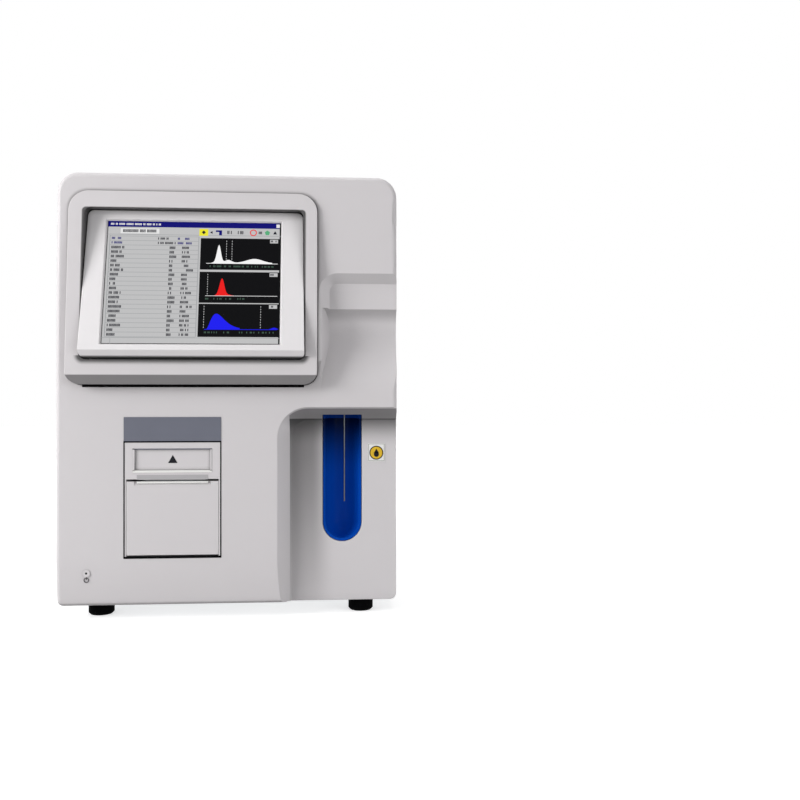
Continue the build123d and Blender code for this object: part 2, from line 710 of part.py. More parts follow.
with BuildPart() as start_paddle:
    # U section of the trough
    with BuildSketch(level(trough_round_z)) as section:
        for radius, mode in ((trough_out, Mode.ADD), (trough_in, Mode.SUBTRACT)):
            area(TROUGH_X - radius, TROUGH_X + radius, recess_y, trough_mid_y, mode)
            with Locations((TROUGH_X, trough_mid_y)):
                Circle(radius, mode=mode)
        slack = 2 * TROUGH_R
        area(TROUGH_X - slack, TROUGH_X + slack, recess_y - slack, recess_y, Mode.SUBTRACT)
    extrude(amount=TROUGH_TOP - trough_round_z)
    # round foot: half the section turned about the middle of the end
    with BuildSketch(level(trough_round_z)) as half_section:
        add(section.sketch)
        area(TROUGH_X - slack, TROUGH_X, recess_y - 1, recess_y + slack, Mode.SUBTRACT)
    revolve(
        axis=Axis((TROUGH_X, 0, trough_round_z), (0, 1, 0)), revolution_arc=180,
    )
    # ears for the pivot pins
    for sign in (-1, 1):
        ear_x = TROUGH_X + sign * trough_out
        with BuildSketch(side(min(ear_x, ear_x - sign * EAR_T))) as ear:
            with Locations((pivot_y, PADDLE_PIVOT_Z)):
                Circle(EAR_R)
            area(pivot_y - EAR_R, pivot_y + EAR_R, TROUGH_TOP - 8, PADDLE_PIVOT_Z)
        extrude(ear.sketch, amount=EAR_T)
    rod_across(
        TROUGH_X - TROUGH_R, TROUGH_X + TROUGH_R, pivot_y, PADDLE_PIVOT_Z,
        PADDLE_PIN_R + RUN_FIT, Mode.SUBTRACT,
    )
start_paddle.part.label = "start_paddle"
export_step(start_paddle.part, "parts/start_paddle.step")

with BuildPart() as paddle_pins:
    pin_out = cheek_in + CHEEK_T
    pin_in = trough_out - EAR_T
    rod_across(TROUGH_X - pin_out, TROUGH_X - pin_in, pivot_y, PADDLE_PIVOT_Z, PADDLE_PIN_R)
    rod_across(TROUGH_X + pin_in, TROUGH_X + pin_out, pivot_y, PADDLE_PIVOT_Z, PADDLE_PIN_R)
paddle_pins.part.label = "paddle_pins"
export_step(paddle_pins.part, "parts/paddle_pins.step")

FRAME_T = 2.0
SHELF_T = 3.0
SHELF_FRONT = 20.0
CHEEK_LOW = 7.0
CHEEK_HIGH = 14.0
TONGUE_W = 20.0
WASH_W = 18.0
WASH_D = 16.0
WASH_H = 16.0
WASH_BORE_R = 1.6
NIPPLE_R = 1.5
NIPPLE_L = 5.0
frame_x0 = WALL_X + SHEET
frame_x1 = TROUGH_X + cheek_in + CHEEK_T
wash_z = SHELF_Z + SHELF_T

with BuildPart() as sampling_frame:
    # folded back plate, from the base plate to above the upper shelf
    slab(frame_x0, frame_x1, frame_y, frame_y + FRAME_T, BASE_Z + SHEET, UPPER_SHELF_Z + SHELF_T)
    slab(frame_x0, frame_x0 + FRAME_T, frame_y, frame_y + 20, BASE_Z + SHEET, UPPER_SHELF_Z)
    # window that the probe tubing passes through
    slab(
        PROBE_X - ROD_SPREAD, PROBE_X + ROD_SPREAD, frame_y - 1, frame_y + FRAME_T + 1,
        CARRIAGE_Z, UPPER_SHELF_Z - 20, mode=Mode.SUBTRACT,
    )
    for shelf_z in (SHELF_Z, UPPER_SHELF_Z):
        slab(
            TROUGH_X - cheek_in, TROUGH_X + cheek_in, rod_y - 12, frame_y, shelf_z,
            shelf_z + SHELF_T,
        )
    # tongue under the wash block
    slab(
        PROBE_X - TONGUE_W / 2, PROBE_X + TONGUE_W / 2, probe_y - WASH_D / 2, rod_y,
        SHELF_Z, SHELF_Z + SHELF_T,
    )
    # cheeks that hold the paddle pins
    for sign in (-1, 1):
        inner = TROUGH_X + sign * cheek_in
        outer = inner + sign * CHEEK_T
        slab(
            min(inner, outer), max(inner, outer), pivot_y - EAR_R - 1, frame_y,
            PADDLE_PIVOT_Z - CHEEK_LOW, PADDLE_PIVOT_Z + CHEEK_HIGH,
        )
        rod_across(
            min(inner, outer), max(inner, outer), pivot_y, PADDLE_PIVOT_Z, PADDLE_PIN_R,
            Mode.SUBTRACT,
        )
    rod_up(PROBE_X, probe_y, SHELF_Z - 1, SHELF_Z + SHELF_T + 1, 4, Mode.SUBTRACT)
    rod_up(PROBE_X, rod_y, UPPER_SHELF_Z - 1, UPPER_SHELF_Z + SHELF_T + 1, 5, Mode.SUBTRACT)
sampling_frame.part.label = "sampling_frame"
export_step(sampling_frame.part, "parts/sampling_frame.step")

with BuildPart() as wash_block:
    slab(
        PROBE_X - WASH_W / 2, PROBE_X + WASH_W / 2, probe_y - WASH_D / 2, probe_y + WASH_D / 2,
        wash_z, wash_z + WASH_H,
    )
    # nipples for the rinse and the drain
    for up in (WASH_H / 4, WASH_H * 3 / 4):
        rod_across(
            PROBE_X - WASH_W / 2 - NIPPLE_L, PROBE_X, probe_y, wash_z + up, NIPPLE_R,
        )
    rod_up(PROBE_X, probe_y, wash_z - 1, wash_z + WASH_H + 1, WASH_BORE_R, Mode.SUBTRACT)
wash_block.part.label = "wash_block"
export_step(wash_block.part, "parts/wash_block.step")

PROBE_HEAD = 9.0
SCREW_R = 3.0
ARM_W = 12.0
CLAMP_R = 3.5

with BuildPart() as probe_carriage:
    slab(
        PROBE_X - CARRIAGE_W / 2, PROBE_X + CARRIAGE_W / 2, rod_y - 9, rod_y + 9,
        CARRIAGE_Z, CARRIAGE_Z + CARRIAGE_H,
    )
    slab(
        PROBE_X - ARM_W / 2, PROBE_X + ARM_W / 2, probe_y, rod_y - 8,
        CARRIAGE_Z + 3, CARRIAGE_Z + CARRIAGE_H - 3,
    )
    rod_up(PROBE_X, probe_y, CARRIAGE_Z + 3, CARRIAGE_Z + CARRIAGE_H - 3, ARM_W / 2 - 1)
    for x in (PROBE_X - ROD_SPREAD, PROBE_X + ROD_SPREAD):
        rod_up(x, rod_y, CARRIAGE_Z - 1, CARRIAGE_Z + CARRIAGE_H + 1, ROD_R + RUN_FIT,
               Mode.SUBTRACT)
    rod_up(PROBE_X, rod_y, CARRIAGE_Z - 1, CARRIAGE_Z + CARRIAGE_H + 1, SCREW_R + RUN_FIT,
           Mode.SUBTRACT)
    rod_up(PROBE_X, probe_y, CARRIAGE_Z, CARRIAGE_Z + CARRIAGE_H, CLAMP_R, Mode.SUBTRACT)
probe_carriage.part.label = "probe_carriage"
export_step(probe_carriage.part, "parts/probe_carriage.step")

with BuildPart() as sample_probe:
    rod_up(PROBE_X, probe_y, PROBE_TIP, CARRIAGE_Z + CARRIAGE_H + PROBE_HEAD, PROBE_R)
    rod_up(PROBE_X, probe_y, CARRIAGE_Z + 3, CARRIAGE_Z + CARRIAGE_H, CLAMP_R)
    rod_up(PROBE_X, probe_y, CARRIAGE_Z + CARRIAGE_H, CARRIAGE_Z + CARRIAGE_H + 5, CLAMP_R - 1)
sample_probe.part.label = "sample_probe"
export_step(sample_probe.part, "parts/sample_probe.step")

with BuildPart() as guide_rods:
    for x in (PROBE_X - ROD_SPREAD, PROBE_X + ROD_SPREAD):
        rod_up(x, rod_y, SHELF_Z + SHELF_T, UPPER_SHELF_Z, ROD_R)
guide_rods.part.label = "guide_rods"
export_step(guide_rods.part, "parts/guide_rods.step")

MOTOR_W = 35.0
MOTOR_H = 34.0
MOTOR_BORE_D = 14.0
motor_z = UPPER_SHELF_Z + SHELF_T

with BuildPart() as probe_screw:
    rod_up(PROBE_X, rod_y, SHELF_Z + SHELF_T + SEAM, motor_z + MOTOR_BORE_D - 1, SCREW_R)
probe_screw.part.label = "probe_screw"
export_step(probe_screw.part, "parts/probe_screw.step")


def square_motor(x, y, z, width, height):
    """Stepper motor with cut corners, standing on z."""
    with BuildPart() as motor:
        slab(x - width / 2, x + width / 2, y - width / 2, y + width / 2, z, z + height)
        chamfer(motor.edges().filter_by(Axis.Z), width / 9)
    return motor.part


with BuildPart() as probe_motor:
    add(square_motor(PROBE_X, rod_y - 3, motor_z, MOTOR_W, MOTOR_H))
    rod_up(PROBE_X, rod_y, motor_z - 1, motor_z + MOTOR_BORE_D, SCREW_R + 2 * RUN_FIT,
           Mode.SUBTRACT)
probe_motor.part.label = "probe_motor"
export_step(probe_motor.part, "parts/probe_motor.step")


# Covers, door, base and chassis wall

DOOR_LUG_T = 3.0
DOOR_LUG_W = 6.0
door_pivot = (HALF_W - HINGE_X_IN, REAR_Y - HINGE_Y_IN)
post_y = door_pivot[1] + HINGE_X_IN + TAIL_GAP

with BuildPart() as top_cover:
    with BuildSketch(front(SPLIT_Y + SEAM)) as section:
        area(-HALF_W, HALF_W, TOP_COVER_Z, TOP_Z)
        fillet(section.vertices().group_by(Axis.Y)[-1], TOP_R)
        with BuildSketch(front(SPLIT_Y + SEAM), mode=Mode.PRIVATE) as inner:
            area(-INNER_X, INNER_X, TOP_COVER_Z - 1, TOP_Z - SKIN)
            fillet(inner.vertices().group_by(Axis.Y)[-1], TOP_R - SKIN)
        add(inner.sketch, mode=Mode.SUBTRACT)
    extrude(amount=SPLIT_Y + SEAM - REAR_Y)
top_cover.part.label = "top_cover"
export_step(top_cover.part, "parts/top_cover.step")

PAN_EDGE = 10.0
PAN_LIP = 1.5
FOLD_END = 20.0


def side_pan(x_out, sign, rear_y):
    """Side cover with a folded edge inside all round, its outer skin at x_out."""
    x_in = x_out - sign * SKIN
    x_fold = x_in - sign * PAN_EDGE
    y0 = SPLIT_Y + SEAM
    z0 = BASE_Z + SHEET + SEAM
    z1 = TOP_COVER_Z - SEAM
    fold_y = rear_y - FOLD_END
    with BuildPart() as pan:
        slab(min(x_out, x_in), max(x_out, x_in), y0, rear_y, z0, z1)
        slab(
            min(x_in, x_fold), max(x_in, x_fold), y0, fold_y,
            z0 + PAN_LIP, z1 - PAN_LIP - DOOR_LUG_T,
        )
        slab(
            min(x_in, x_fold), max(x_in, x_fold), y0 + PAN_LIP, fold_y - PAN_LIP,
            z0 + 2 * PAN_LIP, z1 - 2 * PAN_LIP - DOOR_LUG_T, mode=Mode.SUBTRACT,
        )
    return pan.part


with BuildPart() as left_cover:
    add(side_pan(-HALF_W, -1, post_y - SEAM))
    # air slots low in front of the power supply and high beside the boards
    for vent_z in (VENT_Z, TOP_COVER_Z - VENT_Z):
        with BuildSketch(side(-HALF_W - OVER)) as vents:
            with Locations((0, vent_z)):
                with GridLocations(VENT_SPREAD, VENT_STEP, 2, VENT_ROWS):
                    SlotOverall(VENT_L, VENT_W)
        extrude(vents.sketch, amount=SKIN + 2 * OVER, mode=Mode.SUBTRACT)
left_cover.part.label = "left_cover"
export_step(left_cover.part, "parts/left_cover.step")

door_z_low = BASE_Z + SHEET + SEAM
door_z_high = TOP_COVER_Z - SEAM
pull_y0 = SPLIT_Y + PULL_IN
pull_y1 = pull_y0 + PULL_W
pull_x0 = HALF_W - PULL_DEEP

with BuildPart() as service_door:
    add(side_pan(HALF_W, 1, door_pivot[1]))
    # tail rounded about the hinge, so that it swings clear of the corner post
    with BuildSketch(level(door_z_low)) as tail:
        with Locations(door_pivot):
            Circle(HINGE_X_IN)
        area(
            door_pivot[0] - PAN_EDGE, INNER_X, door_pivot[1] - PAN_EDGE, door_pivot[1] + PAN_EDGE,
            Mode.SUBTRACT,
        )
    extrude(tail.sketch, amount=door_z_high - door_z_low)
    for lug_z in (door_z_low, door_z_high - DOOR_LUG_T):
        slab(
            door_pivot[0] - DOOR_LUG_W, INNER_X, door_pivot[1] - DOOR_LUG_W,
            door_pivot[1] + DOOR_LUG_T, lug_z, lug_z + DOOR_LUG_T,
        )
        rod_up(*door_pivot, lug_z - 1, lug_z + DOOR_LUG_T + 1, HINGE_R + RUN_FIT, Mode.SUBTRACT)
    # finger pull: a cup behind the skin, undercut towards the front
    slab(
        pull_x0 - PULL_WALL, INNER_X, pull_y0 - PULL_WALL, pull_y1 + PULL_WALL,
        PULL_Z - PULL_H / 2 - PULL_WALL, PULL_Z + PULL_H / 2 + PULL_WALL,
    )
    slab(
        pull_x0, INNER_X, pull_y0, pull_y1, PULL_Z - PULL_H / 2, PULL_Z + PULL_H / 2,
        mode=Mode.SUBTRACT,
    )
    slab(
        INNER_X - OVER, HALF_W + OVER, pull_y0 + PULL_W / 3, pull_y1,
        PULL_Z - PULL_H / 2, PULL_Z + PULL_H / 2, mode=Mode.SUBTRACT,
    )
service_door.part.label = "service_door"
export_step(service_door.part, "parts/service_door.step")

with BuildPart() as door_hinge_pins:
    rod_up(*door_pivot, BASE_Z, door_z_low + DOOR_LUG_T, HINGE_R)
    rod_up(*door_pivot, door_z_high - DOOR_LUG_T, TOP_COVER_Z + SHEET, HINGE_R)
door_hinge_pins.part.label = "door_hinge_pins"
export_step(door_hinge_pins.part, "parts/door_hinge_pins.step")

base_front_y = FRONT_Y + BASE_FRONT
base_rear_y = REAR_Y - SHEET
SUPPLY_X = -97.5
SUPPLY_W = 105.0
SUPPLY_FRONT_IN = 183.5
SUPPLY_REAR_IN = 43.5
SUPPLY_H = 50.0
BASE_SLOTS = 6
supply_y0 = REAR_Y - SUPPLY_FRONT_IN
supply_y1 = REAR_Y - SUPPLY_REAR_IN

with BuildPart() as base_plate:
    slab(
        -INNER_X + SEAM, INNER_X - SEAM, base_front_y, base_rear_y, BASE_Z, BASE_Z + SHEET,
    )
    rod_up(*door_pivot, BASE_Z - 1, BASE_Z + SHEET + 1, HINGE_R, Mode.SUBTRACT)
    # air slots in front of the power supply
    with BuildSketch(level(BASE_Z - OVER)) as slots:
        with Locations((SUPPLY_X, supply_y0 - BASE_SLOTS * VENT_STEP)):
            with GridLocations(VENT_SPREAD, VENT_STEP, 2, BASE_SLOTS):
                SlotOverall(VENT_L, VENT_W)
    extrude(slots.sketch, amount=SHEET + 2 * OVER, mode=Mode.SUBTRACT)
base_plate.part.label = "base_plate"
export_step(base_plate.part, "parts/base_plate.step")

with BuildPart() as chassis_wall:
    slab(
        WALL_X, WALL_X + SHEET, frame_y, base_rear_y, BASE_Z + SHEET, TOP_Z - SKIN - SEAM,
    )
    # foot folded towards the boards, and a window for the wiring
    slab(WALL_X - WALL_FOOT, WALL_X, frame_y, base_rear_y, BASE_Z + SHEET, BASE_Z + 2 * SHEET)
    with BuildSketch(side(WALL_X - OVER)) as window:
        with Locations((frame_y + WIRE_WINDOW[0], WIRE_WINDOW_Z)):
            RectangleRounded(WIRE_WINDOW[0], WIRE_WINDOW[1], WIRE_WINDOW[2])
    extrude(window.sketch, amount=SHEET + 2 * OVER, mode=Mode.SUBTRACT)
chassis_wall.part.label = "chassis_wall"
export_step(chassis_wall.part, "parts/chassis_wall.step")

CATCH_W = 12.0
CATCH_L = 20.0
CATCH_H = 18.0
CATCH_IN = 32.0
catch_x = INNER_X - PAN_EDGE - SEAM

with BuildPart() as door_catch:
    slab(
        catch_x - CATCH_W, catch_x, SPLIT_Y + CATCH_IN, SPLIT_Y + CATCH_IN + CATCH_L,
        BASE_Z + SHEET, BASE_Z + SHEET + CATCH_H,
    )
    slab(
        catch_x - 2 * CATCH_W, catch_x, SPLIT_Y + CATCH_IN, SPLIT_Y + CATCH_IN + CATCH_L,
        BASE_Z + SHEET, BASE_Z + 2 * SHEET,
    )
door_catch.part.label = "door_catch"
export_step(door_catch.part, "parts/door_catch.step")

feet_y = {"front": FRONT_Y + FEET_FRONT_IN, "rear": REAR_Y - FEET_REAR_IN}
feet_x = {"left": -FEET_X, "right": FEET_X}
for row, foot_y in feet_y.items():
    for hand, foot_x in feet_x.items():
        with BuildPart() as foot:
            rod_up(foot_x, foot_y, 0, FOOT_H, FOOT_R)
            chamfer(foot.edges().group_by(Axis.Z)[0], 2)
        foot.part.label = f"foot_{row}_{hand}"
        export_step(foot.part, f"parts/foot_{row}_{hand}.step")


# Rear panel with its fan, inlet, ports and fluid fittings

PORT_X = (-20.0, 14.0)
PORT_Z = 300.0
ROUND_PORT_R = 6.0
INLET_X = -115.0
INLET_Z = 70.0
INLET_W = 48.0
INLET_H = 58.0
INLET_D = 25.0
SERIAL_X = -30.0
SERIAL_Z = 250.0
SERIAL_W = 31.0
SERIAL_H = 12.5
USB_X = 14.0
USB_Z = 250.0
USB_W = 15.0
USB_H = 15.0
FITTING_Z = 120.0
FITTING_X = (75.0, 95.0, 115.0, 135.0)
FITTING_R = 6.0
TAB_W = 14.0

with BuildPart() as rear_panel:
    slab(-INNER_X + SEAM, INNER_X - SEAM, base_rear_y, REAR_Y, BASE_Z, TOP_Z - SKIN - SEAM)
    top_edges = rear_panel.edges().filter_by(Axis.Y).group_by(Axis.Z)[-1]
    fillet(top_edges, TOP_R - SKIN)
    # folded corner posts
    for sign in (-1, 1):
        slab(
            min(sign * INNER_X, sign * HALF_W), max(sign * INNER_X, sign * HALF_W),
            post_y, REAR_Y, BASE_Z, TOP_COVER_Z - SEAM,
        )
        slab(
            min(sign * HALF_W, sign * (INNER_X - SEAM - 1)),
            max(sign * HALF_W, sign * (INNER_X - SEAM - 1)),
            base_rear_y, REAR_Y, BASE_Z, TOP_COVER_Z - SEAM,
        )
    # tab that holds the upper hinge pin
    slab(
        INNER_X - SEAM - TAB_W, INNER_X - SEAM, door_pivot[1] - DOOR_LUG_W, REAR_Y,
        TOP_COVER_Z, TOP_COVER_Z + SHEET,
    )
    rod_up(*door_pivot, TOP_COVER_Z - 1, TOP_COVER_Z + SHEET + 1, HINGE_R, Mode.SUBTRACT)
    # cut-outs
    rod_back(FAN_X, FAN_Z, base_rear_y - 1, REAR_Y + 1, FAN_BORE_R, Mode.SUBTRACT)
    for x in PORT_X:
        rod_back(x, PORT_Z, base_rear_y - 1, REAR_Y + 1, ROUND_PORT_R, Mode.SUBTRACT)
    for x in FITTING_X:
        rod_back(x, FITTING_Z, base_rear_y - 1, REAR_Y + 1, FITTING_R / 2, Mode.SUBTRACT)
    cut_y = (base_rear_y - 1, REAR_Y + 1)
    for x, z, width, height in (
        (INLET_X, INLET_Z, INLET_W, INLET_H),
        (SERIAL_X, SERIAL_Z, SERIAL_W, SERIAL_H),
        (USB_X, USB_Z, USB_W, USB_H),
    ):
        slab(
            x - width / 2, x + width / 2, *cut_y, z - height / 2, z + height / 2,
            mode=Mode.SUBTRACT,
        )
rear_panel.part.label = "rear_panel"
export_step(rear_panel.part, "parts/rear_panel.step")

FAN_HUB_R = 17.0
FAN_TIP_GAP = 1.2
FAN_STRUT = 4.0
FAN_PLATE = 3.0
FAN_HOLES = 71.5
FAN_HOLE_R = 2.2
fan_y0 = base_rear_y - FAN_T

with BuildPart() as fan_frame:
    with BuildSketch(front(fan_y0)) as square:
        with Locations((FAN_X, FAN_Z)):
            RectangleRounded(FAN, FAN, FAN_STRUT)
            Circle(FAN_BORE_R, mode=Mode.SUBTRACT)
            with GridLocations(FAN_HOLES, FAN_HOLES, 2, 2):
                Circle(FAN_HOLE_R, mode=Mode.SUBTRACT)
    extrude(amount=-FAN_T)
    # hub plate on three struts at the inner side
    with BuildSketch(front(fan_y0)):
        with Locations((FAN_X, FAN_Z)):
            Circle(FAN_HUB_R)
            with PolarLocations(FAN_HUB_R / 2 + FAN_BORE_R / 2, 3, 90):
                Rectangle(FAN_BORE_R - FAN_HUB_R + FAN_STRUT, FAN_STRUT)
    extrude(amount=-FAN_PLATE)
fan_frame.part.label = "fan_frame"
export_step(fan_frame.part, "parts/fan_frame.step")

FAN_CHORD = 17.0
FAN_BLADE_T = 1.4
FAN_ROOT_PITCH = 52.0
FAN_TIP_PITCH = 33.0
blade_in = FAN_HUB_R * 0.85
blade_out = FAN_BORE_R - FAN_TIP_GAP

with BuildPart() as fan_rotor:
    rotor_y = fan_y0 + FAN_PLATE + SEAM
    blade_y = rotor_y + FAN_CHORD * math.sin(math.radians(FAN_ROOT_PITCH)) / 2 + SEAM
    rod_back(FAN_X, FAN_Z, rotor_y, fan_y0 + FAN_T - SHEET, FAN_HUB_R - 1)
    # each blade is twisted from a steep root to a flatter tip
    for step in range(FAN_BLADES):
        spin = 2 * math.pi / FAN_BLADES * step
        out_x, out_z = math.cos(spin), math.sin(spin)
        for radius, pitch in ((blade_in, FAN_ROOT_PITCH), (blade_out, FAN_TIP_PITCH)):
            lean = math.radians(pitch)
            section = Plane(
                origin=(FAN_X + radius * out_x, blade_y, FAN_Z + radius * out_z),
                x_dir=(-out_z * math.cos(lean), math.sin(lean), out_x * math.cos(lean)),
                z_dir=(out_x, 0, out_z),
            )
            with BuildSketch(section):
                Rectangle(FAN_CHORD, FAN_BLADE_T)
        loft()
fan_rotor.part.label = "fan_rotor"
export_step(fan_rotor.part, "parts/fan_rotor.step")

GUARD_RINGS = (12.0, 20.0, 28.0, 36.0)
GUARD_WIRE = 1.6
GUARD_EYE_R = 4.0
guard_eye = FAN_HOLES / math.sqrt(2)

with BuildPart() as fan_guard:
    with BuildSketch(front(REAR_Y)):
        with Locations((FAN_X, FAN_Z)):
            for radius in reversed(GUARD_RINGS):
                Circle(radius + GUARD_WIRE / 2)
                Circle(radius - GUARD_WIRE / 2, mode=Mode.SUBTRACT)
            Rectangle(2 * GUARD_RINGS[-1] + 6, GUARD_WIRE)
            Rectangle(GUARD_WIRE, 2 * GUARD_RINGS[-1] + 6)
    extrude(amount=-GUARD_WIRE)
    with BuildSketch(front(REAR_Y)):
        with Locations((FAN_X, FAN_Z)):
            with GridLocations(FAN_HOLES, FAN_HOLES, 2, 2):
                Circle(GUARD_EYE_R)
            with PolarLocations((GUARD_RINGS[-1] + guard_eye) / 2, 4, 45):
                Rectangle(guard_eye - GUARD_RINGS[-1], GUARD_WIRE)
            with GridLocations(FAN_HOLES, FAN_HOLES, 2, 2):
                Circle(FAN_HOLE_R, mode=Mode.SUBTRACT)
    extrude(amount=-GUARD_WIRE)
fan_guard.part.label = "fan_guard"
export_step(fan_guard.part, "parts/fan_guard.step")

INLET_FACE = 2.0
SOCKET_W = 27.5
SOCKET_H = 20.0
SOCKET_D = 16.0
SOCKET_UP = -16.0
SOCKET_CUT = 6.0
ROCKER_W = 20.0
ROCKER_H = 12.0
ROCKER_UP = 18.0
ROCKER_D = 12.0
FUSE_UP = 3.0
FUSE_W = 30.0
FUSE_H = 8.0
FUSE_D = 14.0
ROCKER_TILT = 12.0
ROCKER_IN = 4.0
TRUNNION_R = 1.2
TRUNNION_L = 1.2
inlet_face_y = REAR_Y + INLET_FACE
rocker_z = INLET_Z + ROCKER_UP
rocker_y = inlet_face_y - ROCKER_IN

with BuildPart() as power_inlet:
    slab(
        INLET_X - INLET_W / 2 + SEAM, INLET_X + INLET_W / 2 - SEAM, REAR_Y - INLET_D, REAR_Y,
        INLET_Z - INLET_H / 2 + SEAM, INLET_Z + INLET_H / 2 - SEAM,
    )
    slab(
        INLET_X - INLET_W / 2 - 2, INLET_X + INLET_W / 2 + 2, REAR_Y, inlet_face_y,
        INLET_Z - INLET_H / 2 - 2, INLET_Z + INLET_H / 2 + 2,
    )
    with BuildSketch(front(inlet_face_y + 1)) as socket:
        with Locations((INLET_X, INLET_Z + SOCKET_UP)):
            Rectangle(SOCKET_W, SOCKET_H)
        chamfer(socket.vertices().group_by(Axis.Y)[-1], SOCKET_CUT)
    extrude(amount=SOCKET_D + 1, mode=Mode.SUBTRACT)
    for x, up in ((-7.0, -2.0), (0.0, 3.0), (7.0, -2.0)):
        slab(
            INLET_X + x - 1, INLET_X + x + 1, inlet_face_y - SOCKET_D - 1, inlet_face_y - 2,
            INLET_Z + SOCKET_UP + up - 2, INLET_Z + SOCKET_UP + up + 2,
        )
    for up, width, height, depth in (
        (ROCKER_UP, ROCKER_W, ROCKER_H, ROCKER_D), (FUSE_UP, FUSE_W, FUSE_H, FUSE_D),
    ):
        slab(
            INLET_X - width / 2, INLET_X + width / 2, inlet_face_y - depth, inlet_face_y + 1,
            INLET_Z + up - height / 2, INLET_Z + up + height / 2, mode=Mode.SUBTRACT,
        )
    # bores for the trunnions of the rocker
    rod_across(
        INLET_X - ROCKER_W / 2 - TRUNNION_L - SEAM, INLET_X + ROCKER_W / 2 + TRUNNION_L + SEAM,
        rocker_y, rocker_z, TRUNNION_R + RUN_FIT, Mode.SUBTRACT,
    )
power_inlet.part.label = "power_inlet"
export_step(power_inlet.part, "parts/power_inlet.step")

with BuildPart() as power_rocker:
    lean = math.radians(ROCKER_TILT / 2)
    rest = Plane(
        origin=(INLET_X, rocker_y, rocker_z), x_dir=(0, math.cos(lean), -math.sin(lean)),
        z_dir=(1, 0, 0),
    )
    with BuildSketch(rest) as rocker:
        with BuildLine():
            wing = ROCKER_H / 2 - 1.3
            Polyline((4, wing), (-1, wing), (-4, 0), (-1, -wing), (4, -wing), (2.6, 0), close=True)
        make_face()
    extrude(rocker.sketch, amount=ROCKER_W / 2 - SEAM, both=True)
    rod_across(
        INLET_X - ROCKER_W / 2 - TRUNNION_L, INLET_X + ROCKER_W / 2 + TRUNNION_L,
        rocker_y, rocker_z, TRUNNION_R,
    )
power_rocker.part.label = "power_rocker"
export_step(power_rocker.part, "parts/power_rocker.step")

with BuildPart() as fuse_drawer:
    slab(
        INLET_X - FUSE_W / 2 + SEAM, INLET_X + FUSE_W / 2 - SEAM, inlet_face_y - FUSE_D + SEAM,
        inlet_face_y + 0.8, INLET_Z + FUSE_UP - FUSE_H / 2 + SEAM,
        INLET_Z + FUSE_UP + FUSE_H / 2 - SEAM,
    )
fuse_drawer.part.label = "fuse_drawer"
export_step(fuse_drawer.part, "parts/fuse_drawer.step")

with BuildPart() as serial_port:
    slab(
        SERIAL_X - SERIAL_W / 2, SERIAL_X + SERIAL_W / 2, REAR_Y, REAR_Y + 1,
        SERIAL_Z - SERIAL_H / 2, SERIAL_Z + SERIAL_H / 2,
    )
    slab(
        SERIAL_X - SERIAL_W / 2 + 1, SERIAL_X + SERIAL_W / 2 - 1, REAR_Y - 10, REAR_Y,
        SERIAL_Z - SERIAL_H / 2 + 1, SERIAL_Z + SERIAL_H / 2 - 1,
    )
    with BuildSketch(front(REAR_Y + 1)) as shell:
        with Locations((SERIAL_X, SERIAL_Z)):
            Trapezoid(17.6, 8.6, 80)
            Trapezoid(16.6, 7.6, 80, mode=Mode.SUBTRACT)
    extrude(shell.sketch, amount=-5)
serial_port.part.label = "serial_port"
export_step(serial_port.part, "parts/serial_port.step")

with BuildPart() as peripheral_ports:
    for x in PORT_X:
        rod_back(x, PORT_Z, REAR_Y - 12, REAR_Y + 1.5, ROUND_PORT_R - SEAM)
        rod_back(x, PORT_Z, REAR_Y - 8, REAR_Y + 2, ROUND_PORT_R - 1.5, Mode.SUBTRACT)
peripheral_ports.part.label = "peripheral_ports"
export_step(peripheral_ports.part, "parts/peripheral_ports.step")

with BuildPart() as usb_ports:
    slab(
        USB_X - USB_W / 2 + SEAM, USB_X + USB_W / 2 - SEAM, REAR_Y - 14, REAR_Y + 0.8,
        USB_Z - USB_H / 2 + SEAM, USB_Z + USB_H / 2 - SEAM,
    )
    for up in (-3.6, 3.6):
        slab(
            USB_X - 6.2, USB_X + 6.2, REAR_Y - 9, REAR_Y + 1, USB_Z + up - 2.4, USB_Z + up + 2.4,
            mode=Mode.SUBTRACT,
        )
usb_ports.part.label = "usb_ports"
export_step(usb_ports.part, "parts/usb_ports.step")

with BuildPart() as reagent_fittings:
    for x in FITTING_X:
        rod_back(x, FITTING_Z, REAR_Y - 14, REAR_Y, FITTING_R / 2)
        rod_back(x, FITTING_Z, REAR_Y, REAR_Y + 4, FITTING_R)
        rod_back(x, FITTING_Z, REAR_Y + 4, REAR_Y + REAR_PROUD, FITTING_R / 2)
        rod_back(x, FITTING_Z, REAR_Y - 15, REAR_Y + REAR_PROUD + 1, 1.2, Mode.SUBTRACT)
reagent_fittings.part.label = "reagent_fittings"
export_step(reagent_fittings.part, "parts/reagent_fittings.step")

EARTH_X = -60.0
EARTH_Z = 50.0

with BuildPart() as earth_terminal:
    rod_back(EARTH_X, EARTH_Z, REAR_Y, REAR_Y + 9, 3)
    with BuildSketch(front(REAR_Y)):
        with Locations((EARTH_X, EARTH_Z)):
            RegularPolygon(5.5, 6)
    extrude(amount=-4)
earth_terminal.part.label = "earth_terminal"
export_step(earth_terminal.part, "parts/earth_terminal.step")


# Electronics in the left bay

BOARD_T = 1.6
BOARD_GAP = 8.0
BOARD_POST_R = 3.0
BOARD_POST_IN = 6.0
board_x = WALL_X - BOARD_GAP - BOARD_T
boards_rear = REAR_Y - 53.5


